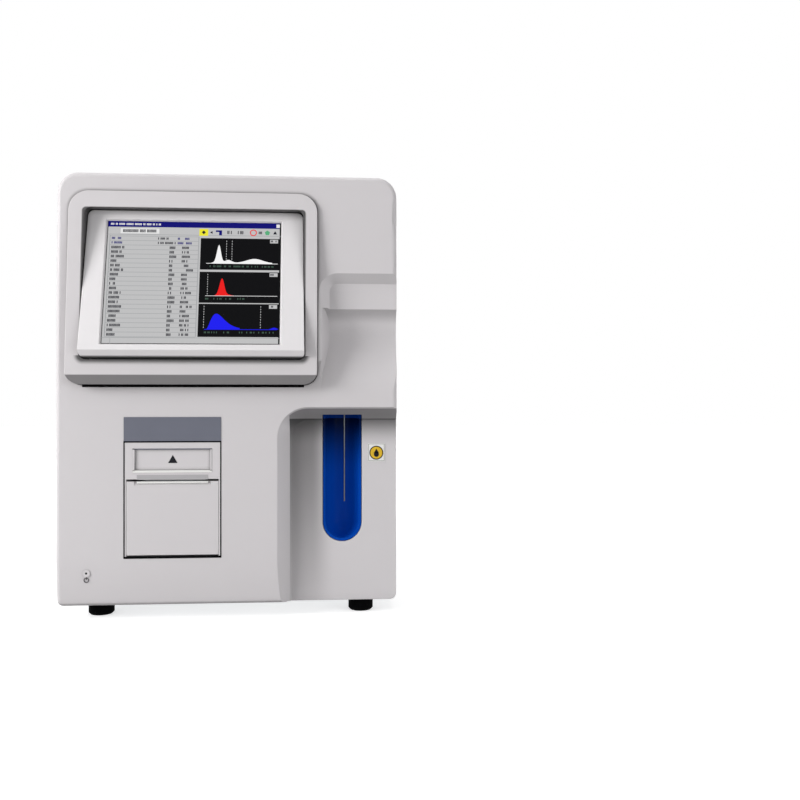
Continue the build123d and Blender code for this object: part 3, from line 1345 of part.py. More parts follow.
def circuit_board(length, z0, z1, blocks, cans):
    """Board on four posts on the left side of the chassis wall.

    Blocks are (back from its front, up from its foot, width, height, tall), and cans are
    the round capacitors (back, up, radius, tall).
    """
    front_y = boards_rear - length
    with BuildPart() as board:
        slab(board_x, board_x + BOARD_T, front_y, boards_rear, z0, z1)
        for y in (front_y + BOARD_POST_IN, boards_rear - BOARD_POST_IN):
            for z in (z0 + BOARD_POST_IN, z1 - BOARD_POST_IN):
                rod_across(board_x + BOARD_T, WALL_X, y, z, BOARD_POST_R)
        for back, up, width, height, tall in blocks:
            slab(
                board_x - tall, board_x, front_y + back - width / 2, front_y + back + width / 2,
                z0 + up - height / 2, z0 + up + height / 2,
            )
        for back, up, radius, tall in cans:
            rod_across(board_x - tall, board_x, front_y + back, z0 + up, radius)
    return board.part


MAIN_Z = (235.0, 385.0)
MAIN_BLOCKS = (
    (60, 105, 32, 32, 3), (120, 105, 40, 28, 2.5), (160, 35, 30, 40, 8), (60, 35, 60, 10, 9),
    (100, 70, 14, 14, 2), (30, 70, 20, 8, 2), (60, 135, 70, 7, 9), (150, 135, 40, 9, 12),
    (120, 20, 26, 8, 10), (30, 125, 10, 18, 2), (120, 55, 18, 12, 2),
)
MAIN_CANS = ((182, 100, 4, 11), (182, 84, 4, 11), (14, 30, 3, 8))
DRIVER_Z = (80.0, 215.0)
DRIVER_BLOCKS = (
    (40, 100, 50, 12, 10), (100, 100, 40, 12, 10), (60, 40, 24, 24, 12), (130, 40, 30, 50, 15),
    (30, 72, 10, 10, 2), (50, 72, 10, 10, 2), (70, 72, 10, 10, 2), (90, 72, 10, 10, 2),
    (60, 14, 60, 9, 9), (150, 100, 24, 10, 10),
)
DRIVER_CANS = ((98, 50, 5, 18), (98, 36, 5, 18), (28, 40, 6, 20))

with BuildPart() as main_board:
    add(circuit_board(190, *MAIN_Z, MAIN_BLOCKS, MAIN_CANS))
main_board.part.label = "main_board"
export_step(main_board.part, "parts/main_board.step")

with BuildPart() as driver_board:
    add(circuit_board(170, *DRIVER_Z, DRIVER_BLOCKS, DRIVER_CANS))
driver_board.part.label = "driver_board"
export_step(driver_board.part, "parts/driver_board.step")

SUPPLY_SLOT_D = 1.5
SUPPLY_SLOT_ROWS = 9
TERMINAL_H = 14.0
TERMINAL_D = 12.0
TERMINAL_POSTS = 8

with BuildPart() as power_supply:
    slab(
        SUPPLY_X - SUPPLY_W / 2, SUPPLY_X + SUPPLY_W / 2, supply_y0, supply_y1,
        BASE_Z + SHEET, BASE_Z + SHEET + SUPPLY_H,
    )
    # pressed air slots in the lid
    with BuildSketch(level(BASE_Z + SHEET + SUPPLY_H)) as slots:
        with Locations((SUPPLY_X, (supply_y0 + supply_y1) / 2)):
            with GridLocations(SUPPLY_W / 2.2, VENT_STEP, 2, SUPPLY_SLOT_ROWS):
                Rectangle(VENT_L, VENT_W)
    extrude(slots.sketch, amount=-SUPPLY_SLOT_D, mode=Mode.SUBTRACT)
    # terminal strip on the front end
    slab(
        SUPPLY_X - SUPPLY_W / 2 + SHEET, SUPPLY_X + SUPPLY_W / 2 - SHEET, supply_y0 - TERMINAL_D,
        supply_y0, BASE_Z + 2 * SHEET, BASE_Z + 2 * SHEET + TERMINAL_H,
    )
    terminal_pitch = (SUPPLY_W - 4 * SHEET) / TERMINAL_POSTS
    for number in range(TERMINAL_POSTS):
        x = SUPPLY_X + (number - TERMINAL_POSTS / 2 + 0.5) * terminal_pitch
        slab(
            x - terminal_pitch / 2 + OVER, x + terminal_pitch / 2 - OVER,
            supply_y0 - TERMINAL_D - OVER, supply_y0 - SHEET,
            BASE_Z + 2 * SHEET + TERMINAL_H / 2, BASE_Z + 3 * SHEET + TERMINAL_H,
            mode=Mode.SUBTRACT,
        )
power_supply.part.label = "power_supply"
export_step(power_supply.part, "parts/power_supply.step")


# Fluid system in the right bay

bay_x = WALL_X + SHEET
BATH_Z = 150.0
BATHS = {"white_cell_bath": -65.0, "red_cell_bath": -22.0}
BATH_X = 85.0
BATH_R = 13.0
BATH_H = 45.0
BATH_NECK_R = 9.0
BATH_NECK_H = 14.0
BATH_WALL = 2.0
BATH_RIM = 1.5
BRACKET_Y = (-90.0, 5.0)
BRACKET_UP = 30.0
BRACKET_LIP = 8.0
bracket_x1 = BATH_X + 25

with BuildPart() as bath_bracket:
    slab(bay_x, bay_x + SHEET, *BRACKET_Y, BATH_Z - BRACKET_UP, BATH_Z + BRACKET_UP)
    slab(bay_x, bracket_x1, *BRACKET_Y, BATH_Z - SKIN, BATH_Z)
    slab(bracket_x1 - SHEET, bracket_x1, *BRACKET_Y, BATH_Z - BRACKET_LIP, BATH_Z)
    for y in BATHS.values():
        rod_up(BATH_X, y, BATH_Z - 4, BATH_Z + 1, BATH_NECK_R + OVER, Mode.SUBTRACT)
bath_bracket.part.label = "bath_bracket"
export_step(bath_bracket.part, "parts/bath_bracket.step")

for bath_name, bath_y in BATHS.items():
    with BuildPart() as bath:
        rod_up(BATH_X, bath_y, BATH_Z, BATH_Z + BATH_H, BATH_R)
        rod_up(
            BATH_X, bath_y, BATH_Z + BATH_H - SKIN, BATH_Z + BATH_H, BATH_R + BATH_RIM,
        )
        rod_up(BATH_X, bath_y, BATH_Z - BATH_NECK_H, BATH_Z, BATH_NECK_R)
        rod_up(
            BATH_X, bath_y, BATH_Z + SKIN, BATH_Z + BATH_H + 1, BATH_R - BATH_WALL,
            Mode.SUBTRACT,
        )
        # drain below, and the port of the counting aperture at the side
        rod_up(BATH_X, bath_y, BATH_Z - 2 * BATH_NECK_H, BATH_Z - BATH_NECK_H, 2 * NIPPLE_R)
        rod_across(
            BATH_X - BATH_R - NIPPLE_L, BATH_X - BATH_R + BATH_WALL / 2, bath_y,
            BATH_Z + BATH_H / 3, 2 * NIPPLE_R,
        )
    bath.part.label = bath_name
    export_step(bath.part, f"parts/{bath_name}.step")

SYRINGE_X = 76.0
SYRINGES = {40.0: 12.0, 96.0: 7.0}
SYRINGE_SCREW_Y = 68.0
SYRINGE_LOW = 96.0
SYRINGE_MID = 216.0
SYRINGE_HIGH = 300.0
SYRINGE_TRAVEL = 48.0
CROSSHEAD_Z = 158.0
CROSSHEAD_H = 12.0
SYRINGE_PLATE = 4.0
SYRINGE_SCREW_R = 4.0
SYRINGE_Y = (18.0, 112.0)
SYRINGE_WALL = 1.5
BARREL_FLANGE = 3.0
PLUNGER_R = 3.0
PLUNGER_HEAD = 14.0
CROSSHEAD_W = 24.0

with BuildPart() as syringe_bracket:
    slab(bay_x, bay_x + SHEET, *SYRINGE_Y, SYRINGE_LOW, SYRINGE_HIGH + SYRINGE_PLATE)
    for z in (SYRINGE_LOW, SYRINGE_MID, SYRINGE_HIGH):
        slab(bay_x, SYRINGE_X + 18, *SYRINGE_Y, z, z + SYRINGE_PLATE)
    for y, radius in SYRINGES.items():
        rod_up(SYRINGE_X, y, SYRINGE_MID - 1, SYRINGE_MID + SYRINGE_PLATE + 1, radius - 2,
               Mode.SUBTRACT)
        rod_up(SYRINGE_X, y, SYRINGE_HIGH - 1, SYRINGE_HIGH + SYRINGE_PLATE + 1, 3,
               Mode.SUBTRACT)
    rod_up(SYRINGE_X, SYRINGE_SCREW_Y, SYRINGE_LOW - 1, SYRINGE_LOW + SYRINGE_PLATE + 1,
           SYRINGE_SCREW_R + 1, Mode.SUBTRACT)
syringe_bracket.part.label = "syringe_bracket"
export_step(syringe_bracket.part, "parts/syringe_bracket.step")

barrel_z = SYRINGE_MID + SYRINGE_PLATE

with BuildPart() as syringe_barrels:
    for y, radius in SYRINGES.items():
        rod_up(SYRINGE_X, y, barrel_z, SYRINGE_HIGH, radius)
        rod_up(SYRINGE_X, y, barrel_z, barrel_z + BARREL_FLANGE, radius + BARREL_FLANGE)
        rod_up(SYRINGE_X, y, SYRINGE_HIGH, SYRINGE_HIGH + 10, 2.5)
        rod_up(
            SYRINGE_X, y, barrel_z - 1, SYRINGE_HIGH - 6, radius - SYRINGE_WALL, Mode.SUBTRACT,
        )
syringe_barrels.part.label = "syringe_barrels"
export_step(syringe_barrels.part, "parts/syringe_barrels.step")

with BuildPart() as syringe_plungers:
    slab(
        SYRINGE_X - CROSSHEAD_W / 2, SYRINGE_X + CROSSHEAD_W / 2, SYRINGE_Y[0] + 6,
        SYRINGE_Y[1] - 6, CROSSHEAD_Z, CROSSHEAD_Z + CROSSHEAD_H,
    )
    for y, radius in SYRINGES.items():
        rod_up(SYRINGE_X, y, CROSSHEAD_Z + CROSSHEAD_H, SYRINGE_HIGH - 12, PLUNGER_R)
        rod_up(
            SYRINGE_X, y, SYRINGE_HIGH - 8 - PLUNGER_HEAD, SYRINGE_HIGH - 8,
            radius - SYRINGE_WALL - RUN_FIT,
        )
    rod_up(SYRINGE_X, SYRINGE_SCREW_Y, CROSSHEAD_Z - 1, CROSSHEAD_Z + CROSSHEAD_H + 1,
           SYRINGE_SCREW_R + RUN_FIT, Mode.SUBTRACT)
syringe_plungers.part.label = "syringe_plungers"
export_step(syringe_plungers.part, "parts/syringe_plungers.step")

SYRINGE_MOTOR_W = 42.0
SYRINGE_MOTOR_H = 44.0
syringe_motor_z = SYRINGE_LOW - SYRINGE_MOTOR_H

with BuildPart() as syringe_screw:
    rod_up(SYRINGE_X, SYRINGE_SCREW_Y, SYRINGE_LOW - 14, SYRINGE_MID - SEAM, SYRINGE_SCREW_R)
syringe_screw.part.label = "syringe_screw"
export_step(syringe_screw.part, "parts/syringe_screw.step")

with BuildPart() as syringe_motor:
    add(square_motor(SYRINGE_X, SYRINGE_SCREW_Y, syringe_motor_z, SYRINGE_MOTOR_W, SYRINGE_MOTOR_H))
    rod_up(SYRINGE_X, SYRINGE_SCREW_Y, SYRINGE_LOW - 15, SYRINGE_LOW + 1,
           SYRINGE_SCREW_R + 2 * RUN_FIT, Mode.SUBTRACT)
syringe_motor.part.label = "syringe_motor"
export_step(syringe_motor.part, "parts/syringe_motor.step")

VALVE_R = 8.0
VALVE_L = 32.0
VALVE_COIL = 18.0
VALVE_COIL_W = 17.0
MANIFOLD_T = 14.0
MANIFOLD_Y = (-91.0, -1.0)
MANIFOLD_Z = (34.0, 100.0)
valve_spots = [(y, z) for y in (-79.0, -57.0, -35.0, -13.0) for z in (50.0, 84.0)]

with BuildPart() as valve_manifold:
    slab(bay_x, bay_x + MANIFOLD_T, *MANIFOLD_Y, *MANIFOLD_Z)
    # nipples along the top
    for y, z in valve_spots[::2]:
        rod_up(bay_x + MANIFOLD_T / 2, y, MANIFOLD_Z[1], MANIFOLD_Z[1] + NIPPLE_L, 2 * NIPPLE_R)
valve_manifold.part.label = "valve_manifold"
export_step(valve_manifold.part, "parts/valve_manifold.step")

with BuildPart() as solenoid_valves:
    for y, z in valve_spots:
        foot_x = bay_x + MANIFOLD_T
        rod_across(foot_x, foot_x + VALVE_L, y, z, VALVE_R - SHEET)
        slab(
            foot_x + VALVE_R / 2, foot_x + VALVE_R / 2 + VALVE_COIL, y - VALVE_COIL_W / 2,
            y + VALVE_COIL_W / 2, z - VALVE_R, z + VALVE_R,
        )
solenoid_valves.part.label = "solenoid_valves"
export_step(solenoid_valves.part, "parts/solenoid_valves.step")

CHAMBER_X = 125.0
CHAMBER_R = 24.0
CHAMBER_H = 98.0
CHAMBER_LID = 6.0
PUMP_AT = (124.0, 80.0)
PUMP_W = 40.0
PUMP_H = 40.0
PUMP_MOTOR_R = 18.0

with BuildPart() as vacuum_chamber:
    rod_up(CHAMBER_X, 0, BASE_Z + SHEET, BASE_Z + SHEET + CHAMBER_H, CHAMBER_R - SHEET)
    rod_up(CHAMBER_X, 0, BASE_Z + SHEET, BASE_Z + SHEET + CHAMBER_LID, CHAMBER_R)
    lid_z = BASE_Z + SHEET + CHAMBER_H
    rod_up(CHAMBER_X, 0, lid_z, lid_z + CHAMBER_LID, CHAMBER_R)
    for y in (-CHAMBER_R / 2, CHAMBER_R / 2):
        rod_up(CHAMBER_X, y, lid_z, lid_z + CHAMBER_LID + NIPPLE_L, 2 * NIPPLE_R)
vacuum_chamber.part.label = "vacuum_chamber"
export_step(vacuum_chamber.part, "parts/vacuum_chamber.step")

with BuildPart() as waste_pump:
    slab(
        PUMP_AT[0] - PUMP_W / 2, PUMP_AT[0] + PUMP_W / 2, PUMP_AT[1] - PUMP_W / 2,
        PUMP_AT[1] + PUMP_W / 2, BASE_Z + SHEET, BASE_Z + SHEET + PUMP_H,
    )
    rod_up(*PUMP_AT, BASE_Z + SHEET + PUMP_H, BASE_Z + SHEET + 2 * PUMP_H, PUMP_MOTOR_R)
    for up in (PUMP_H / 4, PUMP_H * 3 / 4):
        rod_across(
            PUMP_AT[0] - PUMP_W / 2 - NIPPLE_L, PUMP_AT[0], PUMP_AT[1], BASE_Z + SHEET + up,
            2 * NIPPLE_R,
        )
waste_pump.part.label = "waste_pump"
export_step(waste_pump.part, "parts/waste_pump.step")
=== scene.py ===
# %% [markdown]
# # A benchtop hematology analyzer
#
# The instrument is a moulded and sheet-metal case with a tilted screen, a panel printer and
# a sample probe that hangs in front of a blue start paddle. The construction comes ready
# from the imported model: every piece has its real size and place, and the moving ones ride on
# their own bodies. This lesson gives each piece its finish, lights it as in a small product
# studio, and adds what a construction model leaves out: the picture on the screen, prints,
# screws, threads and fine surface detail.

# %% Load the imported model
import bpy
import bmesh
import json
import math
import random
from mathutils import Matrix, Vector


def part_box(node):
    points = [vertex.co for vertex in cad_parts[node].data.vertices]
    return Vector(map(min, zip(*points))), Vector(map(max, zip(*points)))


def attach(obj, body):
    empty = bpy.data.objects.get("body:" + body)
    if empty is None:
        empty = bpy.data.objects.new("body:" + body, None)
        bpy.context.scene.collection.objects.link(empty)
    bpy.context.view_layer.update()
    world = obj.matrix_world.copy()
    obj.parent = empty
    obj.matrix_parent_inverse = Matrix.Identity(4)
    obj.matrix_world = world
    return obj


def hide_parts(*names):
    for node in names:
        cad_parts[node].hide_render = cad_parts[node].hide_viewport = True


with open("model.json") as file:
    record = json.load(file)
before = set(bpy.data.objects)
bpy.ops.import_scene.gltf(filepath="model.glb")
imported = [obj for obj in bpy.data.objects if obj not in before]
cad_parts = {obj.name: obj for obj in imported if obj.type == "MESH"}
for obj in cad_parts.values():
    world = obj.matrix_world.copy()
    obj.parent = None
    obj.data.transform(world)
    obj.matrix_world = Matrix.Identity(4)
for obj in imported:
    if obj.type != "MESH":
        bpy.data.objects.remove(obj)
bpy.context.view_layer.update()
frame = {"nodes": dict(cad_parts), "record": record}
nodes = frame["nodes"]
MM = 0.001

# %% [markdown]
# ## The camera
#
# The photograph was taken level with the middle of the case, a little to the right of it,
# with a normal lens. A camera that is level keeps the upright edges upright. The lens is
# worked out from the focal length in pixels of an 800 pixel wide picture.

# %% Place the camera
PHOTO_WIDTH = 800
FOCAL_PIXELS = 876.0
SENSOR_MM = 36.0
CAMERA_PLACE = Vector((0.1037, -1.0458, 0.2140))
CAMERA_TURN = math.radians(-4.25)

bpy.ops.object.camera_add(
    location=CAMERA_PLACE, rotation=(math.radians(90), 0, CAMERA_TURN)
)
camera = bpy.context.object
camera.name = "photo_camera"
camera.data.sensor_width = SENSOR_MM
camera.data.lens = FOCAL_PIXELS / PHOTO_WIDTH * SENSOR_MM
bpy.context.scene.camera = camera
print("lens in mm:", round(camera.data.lens, 2))

# %% [markdown]
# ## The studio
#
# The studio and every finish below are wired from shader nodes in code. A few helpers keep
# that short: one adds a maths node, one a smooth ramp, one darkens a colour and one splits a
# coordinate. They come first, because the world and the floor already need them.

# %% Helpers that wire shader nodes


def calc(tree, operation, *terms):
    """A maths node with numbers or sockets as its terms; returns its output socket."""
    node = tree.nodes.new("ShaderNodeMath")
    node.operation = operation
    for socket, term in zip(node.inputs, terms):
        if isinstance(term, (int, float)):
            socket.default_value = term
        else:
            tree.links.new(term, socket)
    return node.outputs[0]


def ramp(tree, value, zero_at, full_at, full=1.0):
    """A smooth rise from nothing at one value to its full height at another."""
    node = tree.nodes.new("ShaderNodeMapRange")
    node.interpolation_type = "SMOOTHSTEP"
    node.inputs["From Min"].default_value = zero_at
    node.inputs["From Max"].default_value = full_at
    node.inputs["To Max"].default_value = full
    tree.links.new(value, node.inputs["Value"])
    return node.outputs["Result"]


def scaled(tree, colour, share):
    """A colour times a share that is a socket."""
    node = tree.nodes.new("ShaderNodeVectorMath")
    node.operation = "SCALE"
    tree.links.new(colour, node.inputs[0])
    tree.links.new(share, node.inputs["Scale"])
    return node.outputs["Vector"]


def parted(tree, output):
    """The X, Y and Z sockets of an output of the texture coordinates."""
    place = tree.nodes.new("ShaderNodeTexCoord")
    split = tree.nodes.new("ShaderNodeSeparateXYZ")
    tree.links.new(place.outputs[output], split.inputs["Vector"])
    return split.outputs["X"], split.outputs["Y"], split.outputs["Z"]


def seen_by_eye(tree):
    """A mask that is 1 for camera, glossy and transmission rays."""
    path = tree.nodes.new("ShaderNodeLightPath")
    camera_or_gloss = calc(tree, "MAXIMUM", path.outputs["Is Camera Ray"],
                           path.outputs["Is Glossy Ray"])
    return calc(tree, "MAXIMUM", camera_or_gloss, path.outputs["Is Transmission Ray"])


print("helpers:", [f.__name__ for f in (calc, ramp, scaled, parted, seen_by_eye)])

# %% [markdown]
# The background of the photograph is plain white. A white that comes from more light would
# wash the case out, so the floor and the world show white to the camera and to reflections
# only, and light the object at a plain level. Light Path tells the rays apart.

# %% Make the white that only the camera sees
SEEN_WHITE = (1.0, 1.0, 1.0, 1.0)
AMBIENT = (0.97, 0.98, 1.0, 1.0)
AMBIENT_STRENGTH = 0.20

world = bpy.data.worlds.new("studio_world")
bpy.context.scene.world = world
world.use_nodes = True
tree = world.node_tree
tree.nodes.clear()
ambient = tree.nodes.new("ShaderNodeBackground")
ambient.inputs["Color"].default_value = AMBIENT
ambient.inputs["Strength"].default_value = AMBIENT_STRENGTH
seen = tree.nodes.new("ShaderNodeBackground")
seen.inputs["Color"].default_value = SEEN_WHITE
mix = tree.nodes.new("ShaderNodeMixShader")
tree.links.new(seen_by_eye(tree), mix.inputs["Fac"])
tree.links.new(ambient.outputs[0], mix.inputs[1])
tree.links.new(seen.outputs[0], mix.inputs[2])
world_out = tree.nodes.new("ShaderNodeOutputWorld")
tree.links.new(mix.outputs[0], world_out.inputs["Surface"])
bpy.context.scene.view_settings.view_transform = "Standard"
print("ambient strength:", AMBIENT_STRENGTH)

# %% [markdown]
# The instrument stands on white paper. The floor is a diffuse sheet, so it catches the
# object's shadow, and it glows a little to the camera. The glow rises to plain white with the
# distance from the object: near it the shadow stays, and far off no horizon shows.

# %% Lay the floor
FLOOR_HALF = 6.0
FLOOR_GREY = (0.70, 0.70, 0.70, 1.0)
FLOOR_GLOW = 0.62
SHADOW_REACH = 0.30
WHITE_FROM = 0.75

bpy.ops.mesh.primitive_plane_add(size=2 * FLOOR_HALF, location=(0, 0, 0))
floor = bpy.context.object
floor.name = "floor"
floor_mat = bpy.data.materials.new("floor_paper")
floor_mat.use_nodes = True
tree = floor_mat.node_tree
tree.nodes.clear()
paper = tree.nodes.new("ShaderNodeBsdfDiffuse")
paper.inputs["Color"].default_value = FLOOR_GREY
glow = tree.nodes.new("ShaderNodeEmission")
glow.inputs["Color"].default_value = SEEN_WHITE
where = tree.nodes.new("ShaderNodeTexCoord")
away = tree.nodes.new("ShaderNodeVectorMath")
away.operation = "LENGTH"
tree.links.new(where.outputs["Object"], away.inputs[0])
fade = tree.nodes.new("ShaderNodeMapRange")
fade.inputs["From Min"].default_value = SHADOW_REACH
fade.inputs["From Max"].default_value = WHITE_FROM
fade.inputs["To Min"].default_value = FLOOR_GLOW
fade.inputs["To Max"].default_value = 1.0
tree.links.new(away.outputs["Value"], fade.inputs["Value"])
tree.links.new(fade.outputs["Result"], glow.inputs["Strength"])
add_glow = tree.nodes.new("ShaderNodeAddShader")
tree.links.new(paper.outputs[0], add_glow.inputs[0])
tree.links.new(glow.outputs[0], add_glow.inputs[1])
mix = tree.nodes.new("ShaderNodeMixShader")
tree.links.new(seen_by_eye(tree), mix.inputs["Fac"])
tree.links.new(paper.outputs[0], mix.inputs[1])
tree.links.new(add_glow.outputs[0], mix.inputs[2])
floor_out = tree.nodes.new("ShaderNodeOutputMaterial")
tree.links.new(mix.outputs[0], floor_out.inputs["Surface"])
floor.data.materials.append(floor_mat)
print("floor white from", WHITE_FROM, "m outwards")

# %% [markdown]
# ## The lights
#
# The left side of the case is the brightest, the walls that turn to the right lie in soft
# shadow, and so does the cove under the shoulder. The main light is therefore a large window
# low on the left, a weaker panel low on the right opens the slopes of the recess, and a weak
# panel overhead lights the top. A panel behind the case lights the back for other views.

# %% Hang the lights
AIM = Vector((0.0, -0.05, 0.22))


def panel_light(name, place, size, power, colour=(1, 1, 1)):
    """A square area light that faces the instrument: place and size in metres, watts."""
    bpy.ops.object.light_add(type="AREA", location=place)
    lamp = bpy.context.object
    lamp.name = name
    lamp.rotation_euler = (AIM - Vector(place)).to_track_quat("-Z", "Y").to_euler()
    lamp.data.size = size
    lamp.data.energy = power
    lamp.data.color = colour


panel_light("left_window", place=(-1.8, -1.0, 0.9), size=0.9, power=43,
            colour=(1.0, 0.995, 0.99))
panel_light("right_filler", place=(1.5, -1.4, 0.25), size=1.0, power=14)
panel_light("back_panel", place=(0.9, 1.8, 0.9), size=1.2, power=14)
panel_light("top_panel", place=(0.0, -0.2, 2.0), size=1.2, power=12)

# %% [markdown]
# ## Shader groups
#
# Moulded plastic and powder paint both have a fine grain, and every large panel drifts a
# little in tone. Both effects go into node groups that each material places with its own
# values. The grain is a height for a Bump node: noise for a soft texture, mixed with Voronoi
# cells for the coarser pits of powder paint.

# %% Fine grain as a height
FLOAT, COLOUR = "NodeSocketFloat", "NodeSocketColor"
GRAIN_DETAIL = 3.0


def new_group(name, inputs, outputs):
    """A shader node group with the named sockets."""
    group = bpy.data.node_groups.new(name, "ShaderNodeTree")
    for label, kind, value in inputs:
        socket = group.interface.new_socket(label, in_out="INPUT", socket_type=kind)
        socket.default_value = value
    for label, kind in outputs:
        group.interface.new_socket(label, in_out="OUTPUT", socket_type=kind)
    source = group.nodes.new("NodeGroupInput")
    sink = group.nodes.new("NodeGroupOutput")
    return group, source, sink


grain, source, sink = new_group(
    "fine_grain",
    [("Scale", FLOAT, 1500.0), ("Coarse", FLOAT, 0.3)],
    [("Height", FLOAT)],
)
place = grain.nodes.new("ShaderNodeTexCoord")
fine = grain.nodes.new("ShaderNodeTexNoise")
fine.inputs["Detail"].default_value = GRAIN_DETAIL
grain.links.new(place.outputs["Object"], fine.inputs["Vector"])
grain.links.new(source.outputs["Scale"], fine.inputs["Scale"])
pits = grain.nodes.new("ShaderNodeTexVoronoi")
grain.links.new(place.outputs["Object"], pits.inputs["Vector"])
grain.links.new(source.outputs["Scale"], pits.inputs["Scale"])
blend_heights = grain.nodes.new("ShaderNodeMix")
grain.links.new(source.outputs["Coarse"], blend_heights.inputs["Factor"])
grain.links.new(fine.outputs["Fac"], blend_heights.inputs["A"])
grain.links.new(pits.outputs["Distance"], blend_heights.inputs["B"])
grain.links.new(blend_heights.outputs["Result"], sink.inputs["Height"])
print("group:", grain.name)

# %% [markdown]
# No large moulding is one flat tone, and its gloss varies with handling. One cloud of noise
# moves both: it mixes a light and a dark tone, and a smoother and a rougher gloss.

# %% Slow drift of tone and gloss
CLOUD_DETAIL = 4.0

drift, source, sink = new_group(
    "tone_drift",
    [("Light", COLOUR, (0.6, 0.6, 0.6, 1)), ("Dark", COLOUR, (0.55, 0.55, 0.55, 1)),
     ("Scale", FLOAT, 9.0), ("Smooth", FLOAT, 0.40), ("Rough", FLOAT, 0.5)],
    [("Color", COLOUR), ("Roughness", FLOAT)],
)
place = drift.nodes.new("ShaderNodeTexCoord")
cloud = drift.nodes.new("ShaderNodeTexNoise")
cloud.inputs["Detail"].default_value = CLOUD_DETAIL
drift.links.new(place.outputs["Object"], cloud.inputs["Vector"])
drift.links.new(source.outputs["Scale"], cloud.inputs["Scale"])
tone = drift.nodes.new("ShaderNodeMix")
tone.data_type = "RGBA"
drift.links.new(cloud.outputs["Fac"], tone.inputs["Factor"])
drift.links.new(source.outputs["Dark"], tone.inputs["A"])
drift.links.new(source.outputs["Light"], tone.inputs["B"])
drift.links.new(tone.outputs["Result"], sink.inputs["Color"])
gloss = drift.nodes.new("ShaderNodeMix")
drift.links.new(cloud.outputs["Fac"], gloss.inputs["Factor"])
drift.links.new(source.outputs["Smooth"], gloss.inputs["A"])
drift.links.new(source.outputs["Rough"], gloss.inputs["B"])
drift.links.new(gloss.outputs["Result"], sink.inputs["Roughness"])
print("group:", drift.name)

# %% [markdown]
# In the photograph the faces that look down, under the screen and under the hood, are darker
# than soft light alone leaves them. A third group darkens a colour by how far the face looks
# down in the piece's own frame, and by whether it lies below a given height.

# %% Shade on faces that look down
ANY_HEIGHT = 9.0
SHADE_FROM, SHADE_FULL = -0.25, -0.65
EDGE_SOFT = 2 * MM

under, source, sink = new_group(
    "under_shade",
    [("Color", COLOUR, (0.6, 0.6, 0.6, 1)), ("Depth", FLOAT, 0.5),
     ("Below", FLOAT, ANY_HEIGHT)],
    [("Color", COLOUR)],
)
_, _, up_part = parted(under, "Normal")
_, _, height = parted(under, "Object")
looks_down = ramp(under, up_part, SHADE_FROM, SHADE_FULL)
above = calc(under, "SUBTRACT", height, source.outputs["Below"])
low_enough = ramp(under, above, 0, -EDGE_SOFT)
loss = calc(under, "MULTIPLY", calc(under, "MULTIPLY", looks_down, low_enough),
            source.outputs["Depth"])
dimmed = scaled(under, source.outputs["Color"], calc(under, "SUBTRACT", 1.0, loss))
under.links.new(dimmed, sink.inputs["Color"])
print("group:", under.name)

# %% [markdown]
# ## Materials
#
# Most finishes here differ only in colour, gloss, grain, metal and painted shade, so one
# builder wires the groups to a Principled shader. Its steps come first, each in a cell of its
# own. The first ones place the drift group and paint shade into grooves, which ambient
# occlusion finds by itself.

# %% Tone, and painted shade in grooves
GLOSS_DRIFT = 0.03
GROOVE_SAMPLES = 6


def shade(colour, share):
    """The colour darkened to a share of itself."""
    return (colour[0] * share, colour[1] * share, colour[2] * share, 1.0)


def drifting_colour(tree, colour, spread, scale, rough):
    """Places the drift group with its values and returns it."""
    drifting = tree.nodes.new("ShaderNodeGroup")
    drifting.node_tree = drift
    drifting.inputs["Light"].default_value = shade(colour, 1.0)
    drifting.inputs["Dark"].default_value = shade(colour, spread)
    drifting.inputs["Scale"].default_value = scale
    drifting.inputs["Smooth"].default_value = rough - GLOSS_DRIFT
    drifting.inputs["Rough"].default_value = rough + GLOSS_DRIFT
    return drifting


def painted_crevice_shade(tree, colour, reach, depth):
    """Painted shade where other surfaces stand close, as in grooves and corners."""
    closeness = tree.nodes.new("ShaderNodeAmbientOcclusion")
    closeness.samples = GROOVE_SAMPLES
    closeness.inputs["Distance"].default_value = reach
    share = tree.nodes.new("ShaderNodeMapRange")
    share.inputs["To Min"].default_value = 1.0 - depth
    tree.links.new(closeness.outputs["AO"], share.inputs["Value"])
    return scaled(tree, colour, share.outputs["Result"])


print("gloss drifts by", GLOSS_DRIFT, "either way")

# %% [markdown]
# The sample recess lies in the shade of its hood and of the moulding at its left. The soft
# light of the studio alone leaves it paler than in the photograph, so the shade is laid by
# place: it is deepest under the hood, fades downwards and is weaker on the ceiling itself,
# and a second shade runs down the left part of the wall.

# %% Shade in the sample recess
HOOD_Z = 206 * MM
CEILING_FOOT_Z = 195.5 * MM
CEILING_SPARED = 0.35
RECESS_X = 59 * MM
FRONT_FACE_Y = -179 * MM
LEFT_SHADE_FULL_X, LEFT_SHADE_END_X = 80 * MM, 104 * MM
LEFT_SHADE_FOOT_Z, LEFT_SHADE_TOP_Z = -60 * MM, 200 * MM
FULL_BY = 0.1


